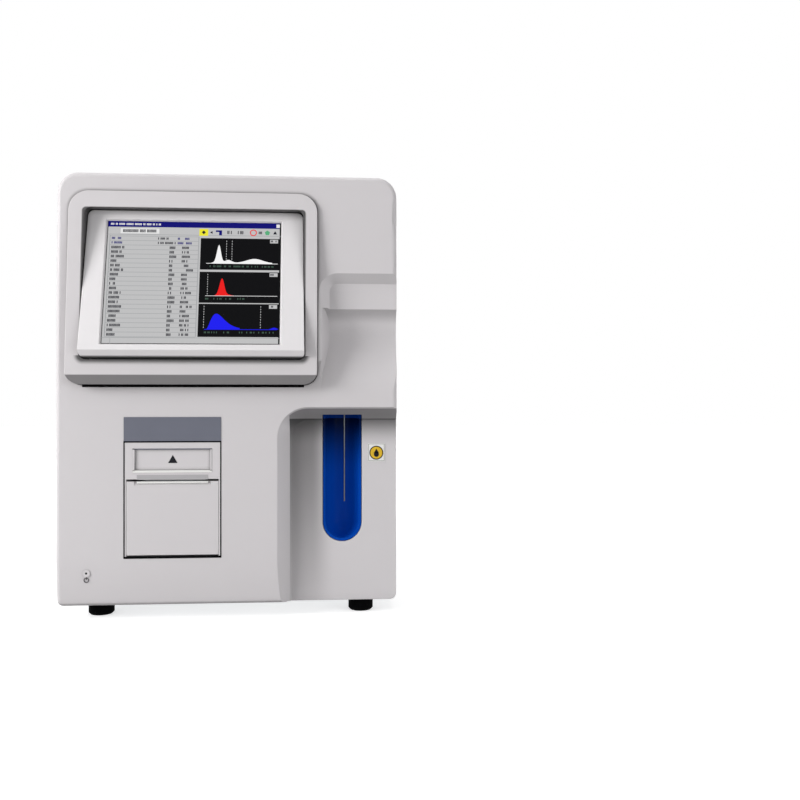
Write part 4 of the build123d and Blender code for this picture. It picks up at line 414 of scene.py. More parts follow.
def under_hood(tree, colour, reach, depth, left_shade_depth):
    """Painted shade in the recess: the colour darkened below the hood, and left of the blue
    trough.
    """
    x, y, z = parted(tree, "Object")
    ceiling = calc(tree, "MULTIPLY", calc(tree, "GREATER_THAN", z, CEILING_FOOT_Z),
                   CEILING_SPARED)
    hood_shade = ramp(tree, z, HOOD_Z - reach, HOOD_Z - FULL_BY * reach, depth)
    below = calc(tree, "MULTIPLY", hood_shade, calc(tree, "SUBTRACT", 1.0, ceiling))
    beside = calc(tree, "MULTIPLY",
                  ramp(tree, z, LEFT_SHADE_FOOT_Z, LEFT_SHADE_TOP_Z, left_shade_depth),
                  ramp(tree, x, LEFT_SHADE_END_X, LEFT_SHADE_FULL_X))
    in_front = calc(tree, "MULTIPLY", calc(tree, "GREATER_THAN", x, RECESS_X),
                    calc(tree, "GREATER_THAN", y, FRONT_FACE_Y))
    inside = calc(tree, "MULTIPLY", calc(tree, "LESS_THAN", z, HOOD_Z), in_front)
    on_wall = calc(tree, "MULTIPLY", beside, calc(tree, "LESS_THAN", z, CEILING_FOOT_Z))
    kept = calc(tree, "MULTIPLY", calc(tree, "SUBTRACT", 1.0, below),
                calc(tree, "SUBTRACT", 1.0, on_wall))
    loss = calc(tree, "MULTIPLY", calc(tree, "SUBTRACT", 1.0, kept), inside)
    return scaled(tree, colour, calc(tree, "SUBTRACT", 1.0, loss))


print("recess shade from", HOOD_Z, "m downwards")

# %% [markdown]
# A dark line of painted shade runs about the tilted screen and about the raised surround, in
# the shaded gap where one moulding meets the next. Below the screen it reaches further down,
# and a band under the lip of the surround is painted darker as well. The line follows the
# rounded
# outline of the front piece: the distance to a rounded rectangle tells each point how far
# outside it lies.

# %% Painted shade about the outline of a piece in front
LIP_Z = 238 * MM
LIP_FADE_UP, LIP_FADE_DOWN = 1.0 * MM, 0.5 * MM
FOOT_FULL_BY = 0.2


def outside(tree, node, corner):
    """How far a point lies outside the outline of a node in the front view."""
    low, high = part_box(node)
    x, _, z = parted(tree, "Object")
    squares = []
    for value, start, end in ((x, low.x, high.x), (z, low.z, high.z)):
        from_middle = calc(tree, "ABSOLUTE", calc(tree, "SUBTRACT", value, (start + end) / 2))
        beyond = calc(tree, "SUBTRACT", from_middle, (end - start) / 2 - corner)
        squares.append(calc(tree, "POWER", calc(tree, "MAXIMUM", beyond, 0.0), 2.0))
    return calc(tree, "SUBTRACT", calc(tree, "SQRT", calc(tree, "ADD", *squares)), corner)


def painted_outline_shade(tree, colour, node, corner, reach, depth, foot_reach=0.0, lip=0.0):
    """Painted shade: the colour darkened in a line about the outline of a node that stands in
    front.
    """
    low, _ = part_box(node)
    _, _, z = parted(tree, "Object")
    away = outside(tree, node, corner)
    loss = ramp(tree, away, reach, FULL_BY * reach, depth)
    # Painted shade that reaches further down below the foot of the node, as under the screen.
    if foot_reach:
        sunk = ramp(tree, away, foot_reach, FOOT_FULL_BY * foot_reach, depth)
        loss = calc(tree, "MAXIMUM", loss,
                    calc(tree, "MULTIPLY", sunk, calc(tree, "LESS_THAN", z, low.z + corner)))
    # A band of painted shade under the lip of the surround.
    if lip:
        lip_shade = ramp(tree, z, LIP_Z + LIP_FADE_UP, LIP_Z - LIP_FADE_DOWN, lip)
        loss = calc(tree, "MAXIMUM", loss, lip_shade)
    return scaled(tree, colour, calc(tree, "SUBTRACT", 1.0, loss))


print("lip of the surround at", LIP_Z, "m")

# %% [markdown]
# The builder itself puts the steps in a row: tone, painted shade in grooves, the painted
# shades that a finish asks for, then grain and, on mouldings, a Bevel node that softens the
# light on sharp edges. What is the same all over a surface, such as metal or clearness, goes
# straight onto the shader. A painted glow, where a finish has one, goes to the emission.

# %% A builder for plain finishes
COAT_ROUGH = 0.08
BEVEL_SAMPLES = 8


def finish(name, colour, rough=0.45, metal=0.0, spread=0.95, drift_scale=9.0,
           grain_scale=1500.0, coarse=0.3, bump=0.05, depth=0.2 * MM, round_edges=0.0,
           coat=0.0, specular=0.35, clear=0.0, crevice_shade_reach=0.0, crevice_shade_depth=0.0,
           under_shade_depth=0.0, under_below=ANY_HEIGHT, hood_reach=0.0, hood_shade_depth=0.0,
           left_shade_depth=0.0, glow=None, beside=None):
    """A material whose colour drifts a little and whose surface has a fine grain."""
    material = bpy.data.materials.new(name)
    material.use_nodes = True
    tree = material.node_tree
    shader = tree.nodes["Principled BSDF"]
    shader.inputs["Metallic"].default_value = metal
    shader.inputs["Specular IOR Level"].default_value = specular
    shader.inputs["Coat Weight"].default_value = coat
    shader.inputs["Coat Roughness"].default_value = COAT_ROUGH
    shader.inputs["Transmission Weight"].default_value = clear
    drifting = drifting_colour(tree, colour, spread, drift_scale, rough)
    coloured = drifting.outputs["Color"]
    if crevice_shade_depth:
        coloured = painted_crevice_shade(tree, coloured, crevice_shade_reach, crevice_shade_depth)
    if under_shade_depth:
        shading = tree.nodes.new("ShaderNodeGroup")
        shading.node_tree = under
        shading.inputs["Depth"].default_value = under_shade_depth
        shading.inputs["Below"].default_value = under_below
        tree.links.new(coloured, shading.inputs["Color"])
        coloured = shading.outputs["Color"]
    if hood_shade_depth:
        coloured = under_hood(tree, coloured, hood_reach, hood_shade_depth, left_shade_depth)
    if beside:
        coloured = painted_outline_shade(tree, coloured, **beside)
    tree.links.new(coloured, shader.inputs["Base Color"])
    tree.links.new(drifting.outputs["Roughness"], shader.inputs["Roughness"])
    # A painted glow: the finish emits a faint colour of its own, though it is no lamp, and the
    # recess shade darkens that glow as it darkens the colour.
    if glow:
        own = tree.nodes.new("ShaderNodeRGB")
        own.outputs[0].default_value = shade(glow, 1.0)
        lit = under_hood(tree, own.outputs[0], hood_reach, hood_shade_depth, left_shade_depth)
        tree.links.new(lit, shader.inputs["Emission Color"])
        shader.inputs["Emission Strength"].default_value = 1.0
    graining = tree.nodes.new("ShaderNodeGroup")
    graining.node_tree = grain
    graining.inputs["Scale"].default_value = grain_scale
    graining.inputs["Coarse"].default_value = coarse
    relief = tree.nodes.new("ShaderNodeBump")
    relief.inputs["Strength"].default_value = bump
    relief.inputs["Distance"].default_value = depth
    tree.links.new(graining.outputs["Height"], relief.inputs["Height"])
    if round_edges:
        soften = tree.nodes.new("ShaderNodeBevel")
        soften.samples = BEVEL_SAMPLES
        soften.inputs["Radius"].default_value = round_edges
        tree.links.new(soften.outputs["Normal"], relief.inputs["Normal"])
    tree.links.new(relief.outputs["Normal"], shader.inputs["Normal"])
    return material


print("bevel samples:", BEVEL_SAMPLES)

# %% [markdown]
# The pale case is moulded in an almost matt plastic with a spark-eroded grain, and its sheet
# metal parts are painted to match with a coarser orange peel. The bezel of the screen is
# a touch paler, and the blue paddle is polished and glossy.

# %% The finishes of the case
CASE = (0.617, 0.594, 0.606)
CASE_PALER = (0.76, 0.74, 0.75)
BEZEL_FOOT_Z = 257 * MM
# Painted shade on the mouldings: grooves and faces that look down are darkened, the cover also
# in the sample recess and in a line about the surround, and the surround in a line about the
# screen and under its lip.
case_plastic = finish("case_plastic", CASE, rough=0.46, spread=0.97, bump=0.10,
                      round_edges=1.2 * MM, crevice_shade_reach=22 * MM, crevice_shade_depth=0.5,
                      under_shade_depth=0.12)
cover_plastic = finish("cover_plastic", CASE, rough=0.46, spread=0.97, bump=0.10,
                       round_edges=1.2 * MM, crevice_shade_reach=22 * MM, crevice_shade_depth=0.5,
                       under_shade_depth=0.3, hood_reach=40 * MM, hood_shade_depth=0.88,
                       left_shade_depth=0.68, beside=dict(node="screen_surround", corner=17 * MM,
                                                    reach=3.5 * MM, depth=0.35))
surround_plastic = finish("surround_plastic", CASE, rough=0.44, spread=0.97, bump=0.08,
                          round_edges=1.0 * MM, crevice_shade_reach=14 * MM, crevice_shade_depth=0.7,
                          under_shade_depth=0.6,
                          beside=dict(node="screen_bezel", corner=3 * MM, reach=1.6 * MM,
                                      depth=0.88, foot_reach=6.5 * MM, lip=0.5))
# Faces of the bezel that look down, below BEZEL_FOOT_Z, get painted shade that is almost
# black.
bezel_plastic = finish("bezel_plastic", CASE_PALER, rough=0.42, spread=0.98, bump=0.06,
                       round_edges=1.0 * MM, crevice_shade_reach=6 * MM, crevice_shade_depth=0.5,
                       under_shade_depth=0.96, under_below=BEZEL_FOOT_Z)
case_steel = finish("case_steel", CASE, rough=0.42, spread=0.97, grain_scale=900.0,
                    coarse=0.6, bump=0.12, round_edges=0.8 * MM)
printer_plastic = finish("printer_plastic", CASE, rough=0.46, spread=0.98, bump=0.10,
                         round_edges=0.6 * MM, crevice_shade_reach=4 * MM, crevice_shade_depth=0.8)
# The blue paddle has a faint painted glow that lifts its trough, and painted shade under the
# hood and at its left darkens both its colour and that glow.
blue_gloss = finish("blue_gloss", (0.0010, 0.048, 0.300), rough=0.30, spread=0.9, bump=0.01,
                    specular=0.04, hood_reach=70 * MM, hood_shade_depth=0.95, left_shade_depth=0.7,
                    glow=(0.0, 0.010, 0.085))
print("finishes so far:", len(bpy.data.materials))

# %% [markdown]
# Behind the case there is bare metal: ground rods, zinc plated sheet, milled aluminium and a
# darker probe. They differ in tone, gloss and grain, which is what tells them apart.

# %% The metals
dark_steel = finish("dark_steel", (0.16, 0.17, 0.18), rough=0.38, metal=1.0, spread=0.6,
                    drift_scale=120.0)
bright_steel = finish("bright_steel", (0.60, 0.61, 0.62), rough=0.22, metal=1.0,
                      grain_scale=2500.0)
zinc_sheet = finish("zinc_sheet", (0.52, 0.54, 0.56), rough=0.38, metal=1.0, spread=0.82,
                    drift_scale=60.0, grain_scale=700.0)
milled_aluminium = finish("milled_aluminium", (0.66, 0.67, 0.69), rough=0.34, metal=1.0,
                          spread=0.92, grain_scale=2000.0)
yellow_brass = finish("yellow_brass", (0.62, 0.42, 0.14), rough=0.28, metal=1.0)
screw_zinc = finish("screw_zinc", (0.62, 0.62, 0.60), rough=0.28, metal=1.0, spread=0.85,
                    drift_scale=300.0)
print("finishes so far:", len(bpy.data.materials))

# %% [markdown]
# The plastics and rubbers of the small parts: black rubber feet and seals, black housings,
# white acetal blocks, clear acrylic vessels and milky silicone tubes.

# %% Plastics and rubbers
black_rubber = finish("black_rubber", (0.0025, 0.0025, 0.003), rough=0.7, spread=0.7,
                      grain_scale=1200.0, bump=0.2, specular=0.02)
black_plastic = finish("black_plastic", (0.014, 0.014, 0.016), rough=0.42, spread=0.8,
                       bump=0.1)
motor_paint = finish("motor_paint", (0.03, 0.03, 0.034), rough=0.36, spread=0.8,
                     grain_scale=900.0, bump=0.15)
white_acetal = finish("white_acetal", (0.72, 0.72, 0.69), rough=0.38, spread=0.96)
clear_acrylic = finish("clear_acrylic", (0.80, 0.86, 0.88), rough=0.08, spread=0.97, bump=0.0,
                       clear=0.85, specular=0.5)
led_lens = finish("led_lens", (0.02, 0.028, 0.022), rough=0.25, spread=0.8, coat=0.4)
screen_glass = finish("screen_glass", (0.006, 0.006, 0.008), rough=0.3, spread=0.9, bump=0.0,
                      specular=0.15)
silicone = finish("silicone", (0.72, 0.74, 0.72), rough=0.30, spread=0.94, clear=0.35,
                  specular=0.4, bump=0.0)
print("finishes so far:", len(bpy.data.materials))

# %% [markdown]
# Plates, signs and prints are foil and ink. The foils have a little gloss. The ink is almost
# matt, and its tone varies in small specks.

# %% Foils and inks
# The grey of the chute is painted shade for the paper slot. The sign white also paints
# highlights, on the lip of the slot and at the foot of the button rim, and the plate foil
# paints the dark top edge of that rim.
plate_foil = finish("plate_foil", (0.150, 0.158, 0.196), rough=0.40, spread=0.93,
                    drift_scale=60.0, grain_scale=3000.0, specular=0.2)
chute_shade_grey = finish("chute_shade_grey", (0.42, 0.41, 0.42), rough=0.5, spread=0.95)
print_ink = finish("print_ink", (0.012, 0.012, 0.016), rough=0.5, spread=0.85,
                   drift_scale=400.0, specular=0.1)
sign_white = finish("sign_white", (0.80, 0.80, 0.78), rough=0.35, spread=0.97, specular=0.2)
sign_yellow = finish("sign_yellow", (0.72, 0.46, 0.03), rough=0.35, spread=0.95,
                     specular=0.2)
print("finishes so far:", len(bpy.data.materials))

# %% [markdown]
# The boards need more than one colour on one mesh. Their components stand on the left of the
# board, so the shader compares the place along X with the board's own face: what stands proud
# of it is dark epoxy, and the face itself is green lacquer with a net of paler tracks.

# %% Circuit board with tracks and dark components
BOARD_GREEN = (0.010, 0.115, 0.045)
TRACK_GREEN = (0.035, 0.230, 0.085, 1.0)
EPOXY = (0.012, 0.012, 0.013, 1.0)
TRACK_SCALE, TRACK_WIDTH = 130.0, 0.035
STANDS_PROUD = 0.2 * MM


def board_finish(name, node):
    """Green lacquer with tracks on the board, dark epoxy on what stands on it."""
    widest = max(nodes[node].data.polygons, key=lambda p: p.area if p.normal.x < -0.9 else 0.0)
    face_x = widest.center.x
    material = finish(name, BOARD_GREEN, rough=0.34, spread=0.8, drift_scale=90.0, coat=0.3)
    tree = material.node_tree
    shader = tree.nodes["Principled BSDF"]
    lacquer = shader.inputs["Base Color"].links[0].from_socket
    place = tree.nodes.new("ShaderNodeTexCoord")
    net = tree.nodes.new("ShaderNodeTexBrick")
    net.inputs["Scale"].default_value = TRACK_SCALE
    net.inputs["Mortar Size"].default_value = TRACK_WIDTH
    turned = tree.nodes.new("ShaderNodeMapping")
    turned.inputs["Rotation"].default_value = (0, math.radians(90), 0)
    tree.links.new(place.outputs["Object"], turned.inputs["Vector"])
    tree.links.new(turned.outputs["Vector"], net.inputs["Vector"])
    tracks = tree.nodes.new("ShaderNodeMix")
    tracks.data_type = "RGBA"
    tree.links.new(net.outputs["Fac"], tracks.inputs["Factor"])
    tree.links.new(lacquer, tracks.inputs["A"])
    tracks.inputs["B"].default_value = TRACK_GREEN
    x, _, _ = parted(tree, "Object")
    proud = calc(tree, "LESS_THAN", x, face_x - STANDS_PROUD)
    parts = tree.nodes.new("ShaderNodeMix")
    parts.data_type = "RGBA"
    tree.links.new(proud, parts.inputs["Factor"])
    tree.links.new(tracks.outputs["Result"], parts.inputs["A"])
    parts.inputs["B"].default_value = EPOXY
    tree.links.new(parts.outputs["Result"], shader.inputs["Base Color"])
    return material


main_lacquer = board_finish("main_lacquer", "main_board")
driver_lacquer = board_finish("driver_lacquer", "driver_board")
print("board finishes:", main_lacquer.name, driver_lacquer.name)

# %% [markdown]
# Each node of the construction names a material slot, and most nodes take the finish of their
# slot. A few need one of their own, because the photograph shows them different or because
# their shade is laid by place.

# %% Give every node its finish
FINISH_OF_SLOT = {
    "case_plastic": case_plastic, "case_steel": case_steel, "blue_plastic": blue_gloss,
    "display": screen_glass, "steel": bright_steel, "zinc": zinc_sheet,
    "rubber": black_rubber, "black_plastic": black_plastic,
    "clear_plastic": clear_acrylic, "aluminium": milled_aluminium, "led": led_lens,
    "brass": yellow_brass, "motor_black": motor_paint, "white_plastic": white_acetal,
}
FINISH_OF_NODE = {
    "screen_bezel": bezel_plastic, "screen_surround": surround_plastic,
    "front_cover": cover_plastic, "main_board": main_lacquer, "driver_board": driver_lacquer,
    "printer_frame": printer_plastic, "printer_door": printer_plastic,
    "printer_latch": printer_plastic, "sample_probe": dark_steel,
    "reagent_fittings": white_acetal,
}
slot_of_node = {s["node"]: s["material_slot"] for s in frame["record"]["subparts"]}
for name, node in nodes.items():
    coat = FINISH_OF_NODE.get(name) or FINISH_OF_SLOT[slot_of_node[name]]
    for entry in node.material_slots:
        entry.material = coat
print("finished nodes:", len(slot_of_node))

# %% [markdown]
# ## Small pieces from primitives
#
# The prints, the plate and the picture on the screen are thin pieces that lie on the faces of
# the construction. Each is a Blender primitive in a local plane: U runs to the right, V runs
# up, and the third axis points away from the surface. All values are in millimetres.

# %% Planes to work in
FACE_ON = Matrix(((1, 0, 0, 0), (0, 0, -1, 0), (0, 1, 0, 0), (0, 0, 0, 1)))
FACE_BACK = Matrix(((-1, 0, 0, 0), (0, 0, 1, 0), (0, 1, 0, 0), (0, 0, 0, 1)))
FACE_DOWN = Matrix(((1, 0, 0, 0), (0, -1, 0, 0), (0, 0, -1, 0), (0, 0, 0, 1)))


def workplane(place, turn=FACE_ON):
    """A plane at a place in metres whose own unit is the millimetre."""
    return Matrix.Translation(place) @ turn @ Matrix.Scale(MM, 4)


def on_front(low, high, y):
    """The plane at the middle of a box as seen from the front, at a depth Y."""
    return workplane(Vector(((low.x + high.x) / 2, y, (low.z + high.z) / 2)))


def laid(plane, u, v, lift, material, width=1.0, height=1.0, thick=1.0, spin=0.0):
    """Puts the new primitive on the plane and gives it a material."""
    piece = bpy.context.object
    piece.matrix_world = (
        plane @ Matrix.Translation((u, v, lift)) @ Matrix.Rotation(spin, 4, "Z")
        @ Matrix.Diagonal((width, height, thick, 1))
    )
    piece.data.materials.append(material)
    return piece


def tile(plane, u0, v0, u1, v1, lift, material):
    """A flat rectangle between two corners."""
    bpy.ops.mesh.primitive_plane_add(size=1)
    return laid(plane, (u0 + u1) / 2, (v0 + v1) / 2, lift, material, u1 - u0, v1 - v0)


def disc(plane, u, v, radius, lift, material, corners=32, spin=0.0):
    """A flat disc, or a regular polygon with few corners."""
    bpy.ops.mesh.primitive_circle_add(vertices=corners, radius=radius, fill_type="NGON")
    return laid(plane, u, v, lift, material, spin=spin)


def bar(plane, u0, v0, u1, v1, lift, thick, material):
    """A flat bar between two corners that stands off the plane by its thickness."""
    bpy.ops.mesh.primitive_cube_add(size=1)
    return laid(plane, (u0 + u1) / 2, (v0 + v1) / 2, lift + thick / 2, material,
                u1 - u0, v1 - v0, thick)


print("plane helpers:", [f.__name__ for f in (workplane, laid, tile, disc, bar)])

# %% [markdown]
# A primitive is only a start, so the next helpers open it in edit mode, where code selects by
# place, and close it again. A ring is a disc whose inset middle is deleted. The last helper
# joins the bits of one piece and applies its transform, so that its place is in its mesh.

# %% Helpers that shape and join
RING_CORNERS = 48


def edit(piece):
    """Opens the piece in edit mode with nothing selected and returns its bmesh."""
    bpy.ops.object.select_all(action="DESELECT")
    piece.select_set(True)
    bpy.context.view_layer.objects.active = piece
    bpy.ops.object.mode_set(mode="EDIT")
    bpy.ops.mesh.select_all(action="DESELECT")
    return bmesh.from_edit_mesh(piece.data)


def leave_edit(piece, operator=None, **settings):
    """Writes the edit back, runs an operator on what is selected and leaves edit mode."""
    bmesh.update_edit_mesh(piece.data)
    if operator:
        operator(**settings)
    bpy.ops.object.mode_set(mode="OBJECT")


def delete_faces(piece, unwanted):
    """Deletes the faces for which the test is true."""
    mesh = edit(piece)
    for face in mesh.faces:
        face.select = unwanted(face)
    leave_edit(piece, bpy.ops.mesh.delete, type="FACE")


def ring(plane, u, v, radius, width, lift, material, keep=lambda point: True):
    """A flat ring, of which only the faces whose middle passes the test stay."""
    piece = disc(plane, u, v, radius, lift, material, RING_CORNERS)
    mesh = edit(piece)
    for face in mesh.faces:
        face.select = True
    leave_edit(piece, bpy.ops.mesh.inset, thickness=width)
    delete_faces(piece, lambda f: len(f.verts) > 4 or not keep(f.calc_center_median()))
    return piece


def join(name, pieces, body):
    """Joins the pieces, frees the result of its transform and lets it ride on a body."""
    bpy.ops.object.select_all(action="DESELECT")
    for piece in pieces:
        piece.select_set(True)
    bpy.context.view_layer.objects.active = pieces[0]
    if len(pieces) > 1:
        bpy.ops.object.join()
    bpy.ops.object.transform_apply(location=True, rotation=True, scale=True)
    whole = bpy.context.object
    whole.name = name
    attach(whole, body)
    return whole


print("shaping helpers:", [f.__name__ for f in (edit, leave_edit, delete_faces, ring, join)])

# %% [markdown]
# ## The picture on the screen
#
# The screen shows a result page: a title bar, a row of buttons, a table of values and three
# histograms of cell sizes. The words are only dashes. Every field glows a little, as an LCD
# does, and lies a tenth of a millimetre in front of the one below it.

# %% Find the plane of the display
DISPLAY_W, DISPLAY_H = 168.5, 125.0
ON_GLASS = 0.01 * MM

glass = nodes["lcd_panel"].data
front_face = max(
    (p for p in glass.polygons if p.normal.y < -0.5), key=lambda polygon: polygon.area
)
out = front_face.normal.copy()
level_point = glass.vertices[front_face.vertices[0]].co
corners = [v.co for v in glass.vertices if abs((v.co - level_point).dot(out)) < ON_GLASS]
middle = sum(corners, Vector()) / len(corners)
right = Vector((1, 0, 0))
up = out.cross(right)
turn = Matrix((right, up, out)).transposed().to_4x4()
display = workplane(middle, turn) @ Matrix.Translation((-DISPLAY_W / 2, DISPLAY_H / 2, 0))
print("screen leans back by", round(math.degrees(math.asin(out.z)), 2), "degrees")

# %% [markdown]
# A lit LCD shows its colours by its own light, whatever falls on it. Each field is therefore
# black glass with almost no shine that emits its colour at a strength of 1.

# %% Mix the colours of the page
PAGE_BLACK = (0.004, 0.004, 0.004, 1)
PAGE_SHINE, PAGE_ROUGH = 0.02, 0.3


def glowing(name, colour, spread=0.94, scale=900.0):
    """A field of the picture: black glass that emits one colour."""
    material = bpy.data.materials.new(name)
    material.use_nodes = True
    tree = material.node_tree
    shader = tree.nodes["Principled BSDF"]
    shader.inputs["Base Color"].default_value = PAGE_BLACK
    shader.inputs["Specular IOR Level"].default_value = PAGE_SHINE
    shader.inputs["Emission Strength"].default_value = 1.0
    drifting = drifting_colour(tree, colour, spread, scale, PAGE_ROUGH)
    tree.links.new(drifting.outputs["Color"], shader.inputs["Emission Color"])
    tree.links.new(drifting.outputs["Roughness"], shader.inputs["Roughness"])
    return material


ui_grey = glowing("ui_grey", (0.540, 0.540, 0.545))
ui_rule = glowing("ui_rule", (0.36, 0.37, 0.38))
ui_pale = glowing("ui_pale", (0.80, 0.80, 0.80))
ui_navy = glowing("ui_navy", (0.004, 0.004, 0.17))
ui_blue = glowing("ui_blue", (0.012, 0.012, 0.90))
ui_red = glowing("ui_red", (0.86, 0.012, 0.012))
ui_white = glowing("ui_white", (0.95, 0.95, 0.95))
ui_black = glowing("ui_black", (0.002, 0.002, 0.003))
ui_ink = glowing("ui_ink", (0.010, 0.010, 0.020))
ui_tick = glowing("ui_tick", (0.06, 0.11, 0.08))
ui_yellow = glowing("ui_yellow", (0.86, 0.80, 0.03))
ui_green = glowing("ui_green", (0.10, 0.42, 0.20))
print("page colours:", sum(m.name.startswith("ui_") for m in bpy.data.materials))

# %% [markdown]
# The page is drawn with two tools: a plain field, and rows of dashes that stand for words.
# Dashes are one grid whose gaps are deleted, since hundreds of single tiles would be slow.
# All places on the page are in millimetres from its upper left corner.

# %% Fields and dashes
LAYER = 0.1
DASH_SHARE = 0.72
picture = []


def field(x0, y0, x1, y1, layer, material):
    """A rectangle of the picture: X from its left edge and Y down from its top edge."""
    picture.append(tile(display, x0, -y1, x1, -y0, LAYER * (layer + 1), material))


def dashes(x0, x1, y0, rows, pitch, height, material, layer=2, letter=1.15, fill=0.8, seed=1):
    """Rows of letter-like dashes: a grid whose gaps and some of whose cells are deleted."""
    chance = random.Random(seed)
    count = max(1, round((x1 - x0) / letter))
    bpy.ops.mesh.primitive_grid_add(x_subdivisions=2 * count, y_subdivisions=2 * rows, size=2)
    piece = laid(display, 0, 0, LAYER * (layer + 1), material)
    lengths = [chance.randint(max(1, count // 2), count) for _ in range(rows)]
    mesh = edit(piece)
    for vertex in mesh.verts:
        column = round((vertex.co.x + 1) * count)
        line = round((1 - vertex.co.y) * rows)
        vertex.co.x = x0 + (column // 2 + DASH_SHARE * (column % 2)) * letter
        vertex.co.y = -(y0 + (line // 2) * pitch + (line % 2) * height)
    for face in mesh.faces:
        spot = face.calc_center_median()
        across = (spot.x - x0) / letter
        down = (-spot.y - y0) / pitch
        in_gap = across % 1 > DASH_SHARE or down % 1 > height / pitch
        cut = int(across) >= lengths[min(int(down), rows - 1)]
        face.select = in_gap or cut or chance.random() > fill
    leave_edit(piece, bpy.ops.mesh.delete, type="FACE")
    picture.append(piece)


print("layers are", LAYER, "mm apart")

# %% [markdown]
# The curves are filled hills: a strip of quads whose upper edge is moved to the height of the
# curve. A bell curve is the base of all but one of them.

# %% Hills and bell curves
HILL_STEPS = 60


def hill(x0, x1, base, height_at, material, layer=2):
    """The filled area under a curve: a strip whose upper edge follows the height."""
    bpy.ops.mesh.primitive_grid_add(x_subdivisions=HILL_STEPS, y_subdivisions=1, size=2)
    piece = laid(display, 0, 0, LAYER * (layer + 1), material)
    mesh = edit(piece)
    for vertex in mesh.verts:
        vertex.co.x = x0 + (vertex.co.x + 1) / 2 * (x1 - x0)
        vertex.co.y = -base + (height_at(vertex.co.x) if vertex.co.y > 0 else 0.0)
    leave_edit(piece)
    picture.append(piece)


def bump(x, centre, width, height):
    """A bell curve."""
    return height * math.exp(-(((x - centre) / width) ** 2))


print("steps in a hill:", HILL_STEPS)

# %% [markdown]
# The left half of the page is a table of 22 ruled rows with names, values and units, under a
# navy title bar and a row for the buttons.

# %% Draw the page: bars and table
BLACK_EDGE = 0.6
RIGHT_EDGE = 1.5
TABLE_X0, TABLE_X1 = 3.2, 88.0
TABLE_Y0, TABLE_Y1 = 15.2, 117.8
ROWS = 22
ROW_PITCH = (TABLE_Y1 - TABLE_Y0) / ROWS
TEXT_DOWN = 1.3

field(BLACK_EDGE, BLACK_EDGE, DISPLAY_W - RIGHT_EDGE, DISPLAY_H - BLACK_EDGE, 0, ui_grey)
field(BLACK_EDGE, 0, DISPLAY_W - RIGHT_EDGE, 5.8, 1, ui_navy)
dashes(3, 56, 1.9, 1, 4, 2.0, ui_pale, seed=5)
field(163.8, 1.2, 167.2, 4.8, 2, ui_pale)
field(0, 13.4, DISPLAY_W, 13.9, 1, ui_rule)
field(12.6, 7.2, 49.8, 12.6, 1, ui_pale)
dashes(15, 48, 8.3, 1, 4, 3.1, ui_ink, seed=9, fill=0.95)
field(TABLE_X0 - 0.7, TABLE_Y0 - 0.6, TABLE_X0, TABLE_Y1, 1, ui_rule)
field(TABLE_X1, TABLE_Y0, TABLE_X1 + 0.7, TABLE_Y1, 1, ui_rule)
for row in range(ROWS + 1):
    y = TABLE_Y0 + row * ROW_PITCH
    field(TABLE_X0, y, TABLE_X1, y + 0.45, 1, ui_rule)
dashes(4.6, 24, TABLE_Y0 + TEXT_DOWN, 2, ROW_PITCH, 2.3, ui_navy, seed=2)
dashes(49, 66, TABLE_Y0 + TEXT_DOWN, 2, ROW_PITCH, 2.3, ui_ink, seed=3)
dashes(68, 87, TABLE_Y0 + TEXT_DOWN, 2, ROW_PITCH, 2.3, ui_navy, seed=4)
table_y = TABLE_Y0 + 2 * ROW_PITCH + TEXT_DOWN
dashes(4.6, 17, table_y, ROWS - 2, ROW_PITCH, 2.7, ui_ink, fill=0.92, seed=6)
dashes(60.5, 67.5, table_y, ROWS - 2, ROW_PITCH, 2.7, ui_ink, fill=0.92, seed=7)
dashes(72.5, 84, table_y, ROWS - 2, ROW_PITCH, 2.5, ui_ink, fill=0.75, seed=8)
field(0, 118.6, DISPLAY_W, 119.1, 1, ui_rule)
field(8.0, 119.6, 8.5, DISPLAY_H, 1, ui_rule)
print("rows of the table:", ROWS, "pitch in mm:", round(ROW_PITCH, 2))

# %% [markdown]
# The buttons at the upper right are small plain shapes: a diamond, arrows, a ring and a dot.
# A disc with three, four or five corners makes most of them.

# %% Draw the page: buttons
ICON_LIFT = 4 * LAYER

field(88.6, 7.0, 97.2, 14.2, 2, ui_yellow)
picture.append(disc(display, 92.9, -10.6, 2.0, ICON_LIFT, ui_ink, 4))
picture.append(disc(display, 100.6, -10.6, 1.7, ICON_LIFT, ui_ink, 3, math.radians(90)))
field(104.6, 8.2, 110.6, 10.0, 2, ui_navy)
field(107.8, 10.0, 110.6, 13.4, 2, ui_navy)
dashes(113.5, 124, 8.6, 1, 4, 3.4, ui_ink, seed=11)
dashes(126, 133, 8.6, 1, 4, 3.4, ui_ink, seed=13, fill=0.9)
picture.append(ring(display, 141.3, -10.4, 3.4, 0.9, ICON_LIFT, ui_red))
dashes(146.5, 151, 8.9, 1, 4, 2.8, ui_ink, seed=12)
picture.append(disc(display, 155.0, -10.4, 2.7, ICON_LIFT, ui_green, 5))
picture.append(disc(display, 162.6, -10.6, 2.3, ICON_LIFT, ui_ink, 3))
print("fields so far:", len(picture))

# %% [markdown]
# Each histogram is a black field with a base line, a row of ticks and a small tag. The rows
# below give the top, the foot and the base line of a field, and the colour of that line.

